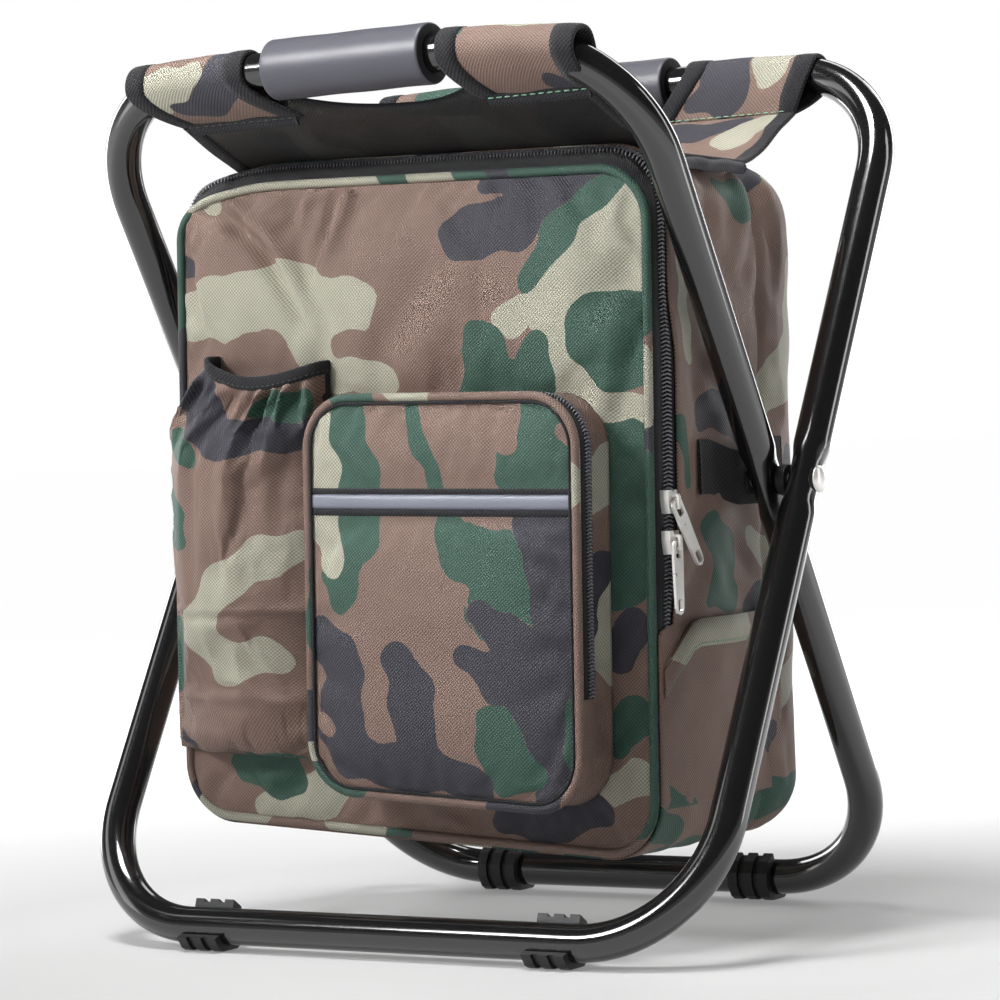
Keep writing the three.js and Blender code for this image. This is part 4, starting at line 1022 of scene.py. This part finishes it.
def flank_bulge(y, z):
    """How far the sides of the bag swell: before the rear seam, and behind it."""
    before = 2.6 * hump(y, -75, REAR_SEAM) * hump(z, LOW - 10, HIGH + 10)
    return before + 2.2 * hump(y, REAR_SEAM, 90)


def bag_ring(depth, bend):
    """Outline of the bag at a depth inside its cloth, bent by a share of the way in to the back panel."""
    side = (INSET - depth) * bend
    low = LOW + depth + (RISE - depth) * bend
    high = HIGH - depth - (DROP - depth) * bend
    radius = max(CORNER - depth - side, 3)
    return outline(side + depth - HALF, HALF - depth - side, low, high, radius, 80, 96, 14)


FLANK_FOLDS = [((26, 362), (6, 316), 6, 2.6), ((28, 360), (46, 318), 7, 2.4),
               ((24, 345), (24, 290), 5, 1.4), ((-20, 372), (-30, 330), 6, 1.5),
               ((-44, 206), (-20, 246), 6, 1.6), ((24, 80), (0, 130), 8, 1.8)]
ring = bag_ring(0, 0)
away = outward(ring)
flank = np.abs(away[:, 0])
up = step(away[:, 2], 0.2, 0.9)
height = ring[:, 1]
mouth = LOWER_MOUTH + (UPPER_MOUTH - LOWER_MOUTH) * step(height, FOLD - 1, FOLD + 3)
sheets = []
for t in np.linspace(0, 1, 46):
    y = mouth + (ROUNDING - mouth) * t
    out = flank_bulge(y, height) * flank
    out -= 1.6 * np.exp(-((y - REAR_SEAM + 1) / 2.2) ** 2) * (1 - up)
    out += 0.9 * waves(y, height, 21, 52, lean=1.2) * flank * step(y, -64, -50)
    out += 0.5 * waves(y * 1.3, height, 22, 24) * flank * step(y, -64, -50)
    out += 0.8 * waves(y, ring[:, 0], 23, 40) * (1 - flank) * (1 - up) * step(y, -70, -50)
    out += up * top_rise(y) + (1 - up) * side_rise(y, height) * flank
    out += creases(y, height, FLANK_FOLDS) * flank
    sheets.append(in_xz(ring, y) + away * out[:, None])
for a in np.linspace(0, math.pi / 2, 15)[1:]:
    p = in_xz(bag_ring(0, 1 - math.cos(a)), ROUNDING + (BACK - ROUNDING) * math.sin(a))
    out = flank_bulge(p[:, 1], p[:, 2]) * flank + waves(p[:, 1] * 1.2, p[:, 2], 24, 38) * (1 - up)
    sheets.append(p + away * out[:, None] * math.cos(a))
wrapped = np.array(sheets)
# The print's places run along from the zip, and up as on the right side; the back panel's lie apart
BACK_PRINT = 0.8
corner_arc = HALF - CORNER + CORNER * math.pi / 2
place = measured_uv(wrapped, False, True) + np.array([UPPER_MOUTH, 80 - corner_arc]) * MM
px, pz = rows_of(*BACK_PANEL, 3, 60, 70)
middle = inset(px, pz, *BACK_PANEL)
back_y = BACK + 2.6 * (1 - np.exp(-middle / 24)) + 0.7 * waves(px, pz, 25, 60) * step(middle, 0, 24)
bag = Sewing().grid(wrapped, place, wrap_j=True, flip=True)
bag.grid(xyz(px, back_y, pz), xyz(px, pz) * MM + [BACK_PRINT, 0])
bag = bag.build("bag_cloth", CAMO)
print_blots(bag, scatter(130, (-80, -120), (230, 1100), ((-90, 50), (90, 376)), 1.57) + SIDE_BLOTS
            + scatter(131, (660, 60), (940, 380), None, 0.9))
dress(solidify(bag, 1.2), "bag", "camouflage_cloth", "bag_shell", "bag_insulation")
cord = closed_cord(outline(*BACK_PANEL, 4, 60, 70, 6), BACK + 0.4, circle(1.7, 12))
cord = print_blots(cord.build("back_piping", CAMO_PIPING), scatter(152, (0, 0), (1000, 11), None, 0, 0.8))
dress(cord, "bag", "piping_cloth")

# Liner of silvery film, and the flange that closes the foam at the mouth
LINER_MOUTH, LINER_BACK = -74.6, BACK - LINER
inner = []
for t in np.linspace(0, 1, 14):
    p = in_xz(bag_ring(LINER, 0), LINER_MOUTH + (ROUNDING - LINER_MOUTH) * t)
    inner.append(p + away * (0.5 * waves(p[:, 1], p[:, 2], 31, 30) * step(t, 0.02, 0.1))[:, None])
for a in np.linspace(0, math.pi / 2, 9)[1:]:
    y = ROUNDING + (LINER_BACK - ROUNDING) * math.sin(a)
    inner.append(in_xz(bag_ring(LINER, 1 - math.cos(a)), y))
floor_y = LINER_BACK + 0.6 * waves(px, pz, 32, 34) * step(middle, 0, 24)
lining = Sewing().grid(inner, wrap_j=True).grid(xyz(px, floor_y, pz), flip=True)
lining.grid([in_xz(bag_ring(1.6, 0), -73.4), in_xz(bag_ring(2.2, 0), -74.5), inner[0]], wrap_j=True)
dress(lining.build("bag_lining", FILM), "bag", "foil_liner", "bag_liner")


# Front panel: one padded sheet; the real bag folds it where the zip ends, and here it is built unfolded

ON_FACE = FRONT + 1.5
PANEL_FOLDS = [((-122, 374), (-72, 332), 4.4, 3.0), ((-84, 346), (-48, 292), 4.4, 2.8),
               ((-58, 376), (-68, 346), 4, 2.8), ((-33, 378), (-52, 324), 4, 3.2),
               ((-134, 352), (-118, 292), 4.4, 2.4), ((10, 374), (2, 346), 6, 1.8),
               ((134, 330), (100, 300), 8, 2.0), ((118, 246), (134, 300), 7, 2.0),
               ((26, 336), (-18, 276), 11, 1.6), ((60, 372), (52, 350), 6, 1.6),
               ((-84, 64), (-60, 78), 5, 1.6), ((40, 60), (20, 72), 5, 1.6)]


def loose_panel(x, y, z):
    """Points of the panel's front that no seam holds: clear of its edge and of the sewn pockets."""
    under_pocket = np.maximum(inset(x, z, *POCKET), inset(x, z, *BOTTLE))
    return (y < ON_FACE) & (inset(x, z, *PANEL) > 5) & (under_pocket < -3)


def press_folds(obj):
    """Presses the panel's main folds into its front."""
    p = points_of(obj)
    x, y, z = p.T.copy()
    fold = 1.9 * drawn_folds(x, z, PANEL_FOLDS) * step(inset(x, z, *PANEL) - PANEL_SEAM, 0, 6)
    p[:, 1] = np.where(y < ON_FACE, np.minimum(y - fold, PANEL_EDGE), y)
    move_points(obj, p)


px, pz = rows_of(*shrunk(PANEL, 3.2), CORNER - PANEL_SEAM, 110, 130)
edge = inset(px, pz, *PANEL) - PANEL_SEAM
puff = 4.6 * (1 - np.exp(-edge / 16.0))
broad = 0.9 * waves(px, pz, 41, 95, lean=0.7, spread=1.6) + 0.45 * waves(px, pz, 42, 38)
puff += broad * step(edge, 2, 26)
puff += 0.35 * waves(px, pz, 43, 16) * (1 - step(edge, 6, 20)) * step(edge, 1, 5)
face, rear = (xyz(px, y, pz) for y in (PANEL_EDGE - puff, PANEL_REAR))
place = xyz(px, pz) * MM
panel = Sewing().grid(face, place, flip=True).grid(rear, place, mat=1).walls(face, rear)
panel = print_blots(panel.build("front_panel", CAMO, FILM), PANEL_BLOTS)
puff_up(panel, loose_panel, 4.0, 0.03, 6.0)
press_folds(panel)
bend_with_flap(panel, "camouflage_cloth", "front_flap", "lower_front_panel", reach=16.0)

# Piping round the front panel
PIPING, PIPING_INSET, PIPING_Y = 2.2, 2.1, -78.3
line = outline(*shrunk(PANEL, PIPING_INSET), CORNER - PIPING_INSET, 60, 80, 20)
cord = closed_cord(line, PIPING_Y, circle(PIPING, 14)).build("front_piping", CAMO_PIPING)
print_blots(cord, scatter(150, (0, 0), (1200, 15), None, 0, 0.8) + PIPING_BLOTS)
bend_with_flap(cord, "piping_cloth", "flap_piping", "lower_piping", reach=16.0)

# Main zip: tapes and coil along an arch on the side of the bag
CHAIN, FLAP_TAPE, BAG_TAPE = -69.05, -75.3, -68.7
TAPE_WIDTH = 5.6
line, out = upper_stretch(outline(-HALF, HALF, LOW, HIGH, CORNER, 60, 110, 24), FOLD - 2.0)
for body, y, start, sign in (("flap", FLAP_TAPE, -2.2, 1.0), ("bag", BAG_TAPE, 0.0, -1.0)):
    tape = sweep(in_xz(line, y) - out * 0.9, ALONG_Y, out, strip_section(start, TAPE_WIDTH, 0.7, 0.5))
    tape = raise_top(tape.build(f"{body}_tape", ZIP_TAPE))
    dress(tape, body, "black_webbing", f"{body}_zip_tape")
    coil = zip_coil(in_xz(line, CHAIN), out, sign, 1.9, 2.5)
    dress(raise_top(coil.build(f"{body}_coil", COIL)), body, "black_webbing")


# Zipped pocket

def on_pocket(x, z):
    """Depth of the pocket's padded face."""
    edge = inset(x, z, *POCKET)
    puff = 2.6 * (1 - np.exp(-edge / 12.0)) + 0.5 * waves(x, z, 52, 60, lean=1.0) * step(edge, 2, 20)
    puff += 0.22 * waves(x, z, 53, 15) * (1 - step(edge, 5, 18)) * step(edge, 1, 4)
    return POCKET_FACE + POCKET_SEAM - puff


def loose_pocket(x, y, z):
    """Points of the pocket that no seam, strip or zip holds."""
    on_gusset = (y > -95) & (y < FRONT - 5)
    under_strip = (z > STRIP_LOW) & (z < STRIP_HIGH)
    return on_gusset | ((inset(x, z, *POCKET) > 4) & (y < -109) & ~under_strip)


line = outline(*POCKET, POCKET_CORNER, 40, 50, 14)
out = outward(line)
gusset_rear, gusset_front = FRONT - 2.6, POCKET_FACE + 1.5
gusset = []
for t in np.linspace(0, 1, 16):
    y = gusset_rear + (gusset_front - gusset_rear) * t
    ripple = 0.5 * waves(np.arange(len(line)) * 3.0, y * 2.0, 51, 40) * hump(t, 0, 1)
    shape = 1.6 * (1 - t) ** 2 - 1.2 * math.sin(math.pi * t) + ripple
    gusset.append(in_xz(line, y) + out * shape[:, None])
gusset = np.array(gusset)
px, pz = rows_of(*shrunk(POCKET, POCKET_SEAM), POCKET_CORNER - POCKET_SEAM, 70, 84)
pocket = Sewing().grid(gusset, measured_uv(gusset, False, True) + [2.0, 0], wrap_j=True, flip=True)
pocket.grid(xyz(px, on_pocket(px, pz), pz), xyz(px, pz) * MM, flip=True)
pocket = pocket.build("zip_pocket", CAMO)
print_blots(pocket, POCKET_BLOTS + scatter(140, (1990, -20), (2050, 700), None, 1.57))
puff_up(pocket, loose_pocket, 4.0, 0.025, 5.0)
solidify(pocket, 1.1)
bend_with_flap(pocket, "camouflage_cloth", "front_pocket")
cord = closed_cord(line, POCKET_FACE + 1.0, circle(PIPING, 14), 0.4).build("zip_pocket_piping", CAMO_PIPING)
print_blots(cord, scatter(151, (0, 0), (700, 15), None, 0, 0.8))
bend_with_flap(cord, "piping_cloth", "pocket_piping")
inside = closed_cord(line, POCKET_FACE - 0.3, circle(0.7, 8), -2.2)
bend_with_flap(inside.build("zip_pocket_seam", TAPE), "black_webbing")

# Pocket zip on the gusset, from one lower corner over the top to the other
ZIP_END = 125.0
POCKET_TAPE, POCKET_TAPE_WIDTH, POCKET_CHAIN = POCKET_FACE + 3.6, 11.5, POCKET_FACE + 11.0
line, out = upper_stretch(line, ZIP_END)
tape = sweep(in_xz(line, POCKET_TAPE), ALONG_Y, out, strip_section(0, POCKET_TAPE_WIDTH, 0.6, 0.6))
bend_with_flap(tape.build("pocket_tape", ZIP_TAPE), "black_webbing")
for name, sign in (("front", 1.0), ("rear", -1.0)):
    coil = zip_coil(in_xz(line, POCKET_CHAIN) + out * 0.6, out, sign, 1.7, 2.3)
    bend_with_flap(coil.build(f"pocket_coil_{name}", COIL), "black_webbing")


# Reflective strip with black edges

def strip(name, low, high, proud, mat, slot, *replaced):
    x, z = np.meshgrid(np.linspace(POCKET[0] + 1.6, POCKET[1] - 1.6, 70), np.linspace(low, high, 5))
    lift = proud * np.array([0.2, 1, 1, 1, 0.2])[:, None]
    made = Sewing().grid(xyz(x, on_pocket(x, z) - lift, z), flip=True).build(name, mat)
    dress(solidify(made, 0.3), "flap", slot, *replaced)


strip("strip_upper_edge", 220.4, 223.4, 0.75, TAPE, "black_webbing")
strip("strip_lower_edge", 210.2, 213.6, 0.75, TAPE, "black_webbing")
strip("strip_grey", 213.2, 220.8, 1.0, REFLECTIVE, "reflective_tape", "reflective_strip")

# Bottle pocket: gathered at its bound top; u runs across it and v up
POUCH_WIDE, POUCH_TALL = 95, 190
POUCH_LOW, POUCH_RISE, POUCH_HEM, POUCH_RIGHT = 89, 186, 268, -41.5
POUCH_FOLDS = [((28, 180), (32, 60), 4, 3.0), ((60, 184), (62, 30), 5, 3.4),
               ((80, 180), (76, 110), 4, 2.4), ((14, 184), (6, 120), 4, 2.6)]
t = np.linspace(0, 1, 141)
u, v = np.meshgrid(0.35 * t + 0.65 * (1 - np.cos(math.pi * t)) / 2, np.linspace(0, 1, 96))
left = -HALF + 28.0 * portion(v, 0.74, 1.0) ** 1.4
right = POUCH_RIGHT - step(v, 0.8, 1.0)
depth = np.interp(v, [0, 0.03, 0.08, 0.16, 0.4, 0.7, 0.86, 0.94, 1.0], [1, 12, 20, 25, 27, 25, 22, 19, 17])
square = np.where(u < 0.5, 5.0, 2.6)
rim_bow = np.clip(1 - np.abs(2 * u - 1) ** square, 0, 1) ** (1 / square)
low_bow = np.clip(np.sin(math.pi * u), 0, 1) ** 0.55
bow = low_bow + (rim_bow - low_bow) * step(v, 0.7, 0.95)
turns = 2 * math.pi * (7.5 * u + 0.25 * np.sin(9 * u))
ruffle = np.sin(turns) * 3.4 * step(v, 0.80, 0.95) + np.sin(turns * 0.5 + 1) * 1.8 * step(v, 0.6, 0.9)
ruffle += 0.7 * waves(u * POUCH_WIDE, v * POUCH_TALL, 61, 42, lean=0.3)
ruffle += creases(u * POUCH_WIDE, v * POUCH_TALL, POUCH_FOLDS)
ruffle *= 1 - step(v, 0.955, 0.985)
sag = np.where(u < 0.5, 10.5, 7.5) * (2 * u - 1) ** 2
up = POUCH_LOW + POUCH_RISE * v + sag * v ** 3 - 8 * low_bow * np.exp(-((v - 0.06) / 0.05) ** 2)
bottle = xyz(left + (right - left) * u, FRONT - 3.0 - (depth + ruffle) * bow, up)
flat_place = xyz(-140 + 98 * u, 85 + 195 * v) * MM
pouch = Sewing().grid(bottle, flat_place, flip=True).build("bottle_pouch", CAMO)
print_blots(pouch, BOTTLE_BLOTS)
puff_up(pouch, lambda x, y, z: (y < FRONT - 5) & (z < POUCH_HEM), 2.5, 0.04, 5.0)
solidify(pouch, 1.0)
bend_with_flap(pouch, "camouflage_cloth", "bottle_pocket")
top = bottle[-1]
normal = unit(np.cross(tangents(top), ALONG_Z))
hem = sweep(top + [0, 0, 2.0], -ALONG_Z, normal, tape_section(6.4, 2.6))
dress(hem.build("bottle_hem", TAPE), "flap", "black_webbing", "bottle_pocket_elastic")
row = stitches(top - [0, 0, 2.6] + normal * 1.35, normal, 1.8, 3.0, 0.26)
dress(row.build("bottle_hem_stitch", THREAD_BLACK), "flap", "black_webbing")
tab = sweep(bottle[-16:, -1] + [0.4, -0.4, 2.0], [-0.5, -0.8, 0], [0.8, -0.5, 0], tape_section(5.0, 1.8))
dress(tab.build("bottle_hem_right_tab", TAPE), "flap", "black_webbing")


# Both sides and the straps on the back

def slip_pocket(side, sign):
    """Flat pocket low on the side, with a hem along its slanting mouth."""
    front, rear, low = -74, 40, 76
    y, v = np.meshgrid(np.linspace(front, rear, 60), np.linspace(0, 1, 44))
    mouth = np.interp(y, [front, -52, -46, rear], [138, 158.5, 160, 160])
    z = low + (mouth - low) * v
    loose = 1.6 + 3.0 * hump(y, -80, 46) * (0.25 + 0.75 * v) + 0.5 * waves(y, z, 71 + sign, 34)
    loose *= 0.35 + 0.65 * hump(y, -78, 44) ** 0.5
    sheet = xyz(sign * (HALF + flank_bulge(y, z) + loose), y, z)
    obj = Sewing().grid(sheet, sheet[..., 1:] * MM, flip=sign > 0).build(f"{side}_slip_pocket", CAMO)
    solidify(print_blots(obj, SLIP_BLOTS), 1.0)
    dress(obj, "bag", "camouflage_cloth", f"{side}_side_pocket")
    rim = sheet[-1]
    hem = np.array([rim + [sign * out, 0, -down] for out, down in ((0.5, 0), (0.9, 6.5), (0.5, 13.0))])
    obj = Sewing().grid(hem, hem[..., 1:] * MM, flip=sign < 0).build(f"{side}_slip_pocket_hem", CAMO)
    solidify(print_blots(obj, HEM_BLOTS), 0.6, 1.0)
    dress(obj, "bag", "camouflage_cloth")
    row = stitches(rim + [sign * 1.2, 0, -11.5], ALONG_X * sign, 2.2, 3.2, 0.28)
    dress(row.build(f"{side}_slip_pocket_stitch", THREAD_GREEN), "bag", "camouflage_cloth")


def pivot_band(side, sign):
    """Webbing band that the pivot rivet holds out from the bag."""
    at_rivet, at_bag, reach = 145.2, 141.0, 41
    y = np.linspace(-reach, reach, 60)
    x = at_rivet + (at_bag - at_rivet) * step(np.abs(y), 9, 30)
    band = xyz(sign * x, y, PIVOT + 2 + 6 * step(np.abs(y), 9, 34))
    normal = unit(np.cross(tangents(band), ALONG_Z))
    half, near, thick, thin = 13, 12.4, 0.75, 0.5
    section = [[-half, thin], [-near, thick], [near, thick], [half, thin],
               [half, -thin], [near, -thick], [-near, -thick], [-half, -thin]]
    obj = sweep(band, ALONG_Z, normal, section).build(f"{side}_band", WEBBING)
    dress(obj, "bag", "black_webbing", f"{side}_pivot_band", askew=False)


def top_roll(side, sign):
    """Rolled edge along the top of the side."""
    front, rear = -60, 23
    y = np.linspace(front, rear, 40)
    roll = xyz(sign * (HALF - 6.5 + 0.4 * np.sin(y * 0.3)), y, HIGH - 2.4 + 0.3 * np.sin(y * 0.21))
    obj = sweep(roll, ALONG_X, ALONG_Z, circle(3.0, 14)).build(f"{side}_top_roll", ROLL_TAPE)
    dress(obj, "bag", "black_webbing")


def shoulder_strap(side, sign):
    """Padded strap on the back with its bound edge, and the webbing tail below its buckle."""
    middle = sign * PAD_MIDDLE
    pad = (middle - PAD_HALF, middle + PAD_HALF, PAD_LOW, PAD_HIGH)
    x, z = rows_of(*pad, PAD_CORNER, 40, 90)
    edge = inset(x, z, *pad)
    swell = 4.0 * (1 - np.exp(-edge / 4.0)) + 0.5 * waves(x, z, 81 + sign, 30) * step(edge, 1, 8)
    swell -= 1.4 * np.exp(-((edge - 6) / 0.9) ** 2)
    face, seat = (xyz(x, y, z) for y in (PAD_SEAT + PAD_EDGE + swell, PAD_SEAT))
    padding = Sewing().grid(face).grid(seat, flip=True).walls(seat, face)
    obj = print_blots(padding.build(f"{side}_pad", CAMO), scatter(160 + sign, (-5, -5), (160, 160)))
    dress(obj, "bag", "camouflage_cloth", f"{side}_shoulder_pad", askew=False)
    line = outline(*shrunk(pad, 0.3), PAD_CORNER, 20, 40, 10)
    rim = closed_cord(line, PAD_SEAT + 3.2, circle(1.6, 10, 1.5))
    dress(rim.build(f"{side}_pad_binding", TAPE), "bag", "black_webbing", askew=False)
    low, high = 92, 178
    z = np.linspace(low, high, 30)
    tail = xyz(middle, PAD_SEAT + 0.7 + 2.2 * hump(z, 150, high + 4), z)
    obj = sweep(tail, ALONG_X, ALONG_Y, strip_section(-12.5, 12.5, 0.6, 0.6)).build(f"{side}_tail", WEBBING)
    dress(obj, "bag", "black_webbing", f"{side}_strap_tail", askew=False)


for side, sign in SIDES:
    slip_pocket(side, sign)
    pivot_band(side, sign)
    top_roll(side, sign)
    shoulder_strap(side, sign)

# Solids that keep their shape, with broken edges
for mat, width, names in (
        (PLASTIC, 0.5, ("front_left_foot", "front_right_foot", "rear_left_foot", "rear_right_foot")),
        (PLASTIC, 0.6, ("left_strap_buckle", "right_strap_buckle")),
        (NICKEL, 0.3, ("lower_zip_slider", "upper_zip_slider")),
        (NICKEL, 0.25, ("lower_zip_pull", "upper_zip_pull")),
        (NICKEL, 0.2, ("pocket_zip_slider", "pocket_zip_pull"))):
    for name in names:
        nodes[name].data.materials.clear()
        nodes[name].data.materials.append(mat)
        bevel(nodes[name], width, 2)

# Floor that glows: grey near the stool, with a glow that grows until it is almost white away from it, in
# metres
FLOOR, FLOOR_HALF = -0.0005, 60
floor_mat, tree, shader = material("pale_floor")
grain = node(tree, "ShaderNodeTexNoise", {"Scale": 3.0}).outputs[0]
place = node(tree, "ShaderNodeTexCoord").outputs["Object"]
distance = node(tree, "ShaderNodeVectorMath", {0: place}, operation="LENGTH").outputs["Value"]
# Glow of the floor, weak by the stool and strong further off: the floor gives out light, though it is no lamp
far = node(tree, "ShaderNodeMapRange", {0: distance, 1: 0.3, 2: 1.0, 3: 0.2, 4: 0.95}).outputs[0]
plug(tree, shader, {"Base Color": ramp(tree, grain, [(0.3, (0.42, 0.42, 0.42)), (0.7, (0.45, 0.45, 0.45))]),
                    "Roughness": 0.9, "Emission Color": (1, 1, 1, 1), "Emission Strength": far})
ground = bpy.data.meshes.new("floor")
corners = [(x * FLOOR_HALF, y * FLOOR_HALF, FLOOR) for x, y in ((-1, -1), (1, -1), (1, 1), (-1, 1))]
ground.from_pydata(corners, [], [(0, 1, 2, 3)])
ground.materials.append(floor_mat)
floor = bpy.data.objects.new("floor", ground)
bpy.context.scene.collection.objects.link(floor)

# World: white to the camera, and a pale band at the horizon for the reflections
world = bpy.data.worlds.new("studio")
bpy.context.scene.world = world
world.use_nodes = True
tree = world.node_tree
way = node(tree, "ShaderNodeTexCoord").outputs["Generated"]
sky = node(tree, "ShaderNodeSeparateXYZ", {0: way}).outputs[2]
glow = ramp(tree, math_node(tree, "ABSOLUTE", sky), [(0.12, (0.36, 0.36, 0.36)), (0.3, (0.06, 0.06, 0.06))])
seen = node(tree, "ShaderNodeLightPath").outputs["Is Camera Ray"]
plug(tree, tree.nodes["Background"], {0: mix(tree, seen, glow, (1.0, 1.0, 1.0)), 1: 1.0})


# Lights and camera, in metres

def soft_light(name, place, aim, size, power, spread=180):
    data = bpy.data.lights.new(name, "AREA")
    data.shape = "RECTANGLE"
    data.size, data.size_y = size
    data.energy = power
    data.spread = math.radians(spread)
    obj = bpy.data.objects.new(name, data)
    obj.location = place
    obj.rotation_euler = (Vector(aim) - Vector(place)).to_track_quat("-Z", "Y").to_euler()
    bpy.context.scene.collection.objects.link(obj)


soft_light("key", (-0.8, -1.5, 1.3), (0.05, -0.08, 0.45), (0.6, 0.6), 2.4, 32)
soft_light("top", (-0.1, -0.45, 2.0), (0, -0.05, 0.3), (0.6, 0.6), 4.6, 60)
soft_light("left_strip", (-1.5, -0.8, 0.7), (0, 0, 0.22), (0.4, 1.6), 3.6)
soft_light("rim_left", (-1.75, 0.55, 0.6), (0, 0, 0.22), (0.5, 1.6), 14)
soft_light("rim_back", (0.25, 1.8, 0.7), (0, 0, 0.25), (0.5, 1.6), 12)
soft_light("right_strip", (1.45, 0.9, 0.8), (0, 0, 0.25), (0.3, 1.6), 5.5)
soft_light("rim_top", (-0.2, 1.3, 1.5), (0, 0, 0.4), (1.2, 0.5), 5)

AZIMUTH, ELEVATION, ROLL = math.radians(32.29), math.radians(1.03), math.radians(-2.3)
AIM, DISTANCE, LENS, SENSOR = Vector((0.00288, 0, 0.2136)), 1.8114, 129.74, 36.0
level = math.cos(ELEVATION)
back = Vector((math.sin(AZIMUTH) * level, -math.cos(AZIMUTH) * level, math.sin(ELEVATION)))
side = Vector((math.cos(AZIMUTH), math.sin(AZIMUTH), 0))
rise = back.cross(side)
turned = side * math.cos(ROLL) + rise * math.sin(ROLL)
rise = rise * math.cos(ROLL) - side * math.sin(ROLL)
camera = bpy.data.cameras.new("camera")
camera.sensor_width = SENSOR
camera.lens = LENS
camera.clip_start, camera.clip_end = 0.05, 50
eye = bpy.data.objects.new("camera", camera)
eye.matrix_world = Matrix((turned, rise, back)).transposed().to_4x4()
eye.matrix_world.translation = AIM + back * DISTANCE
bpy.context.scene.collection.objects.link(eye)
bpy.context.scene.camera = eye
bpy.context.scene.view_settings.view_transform = "Standard"
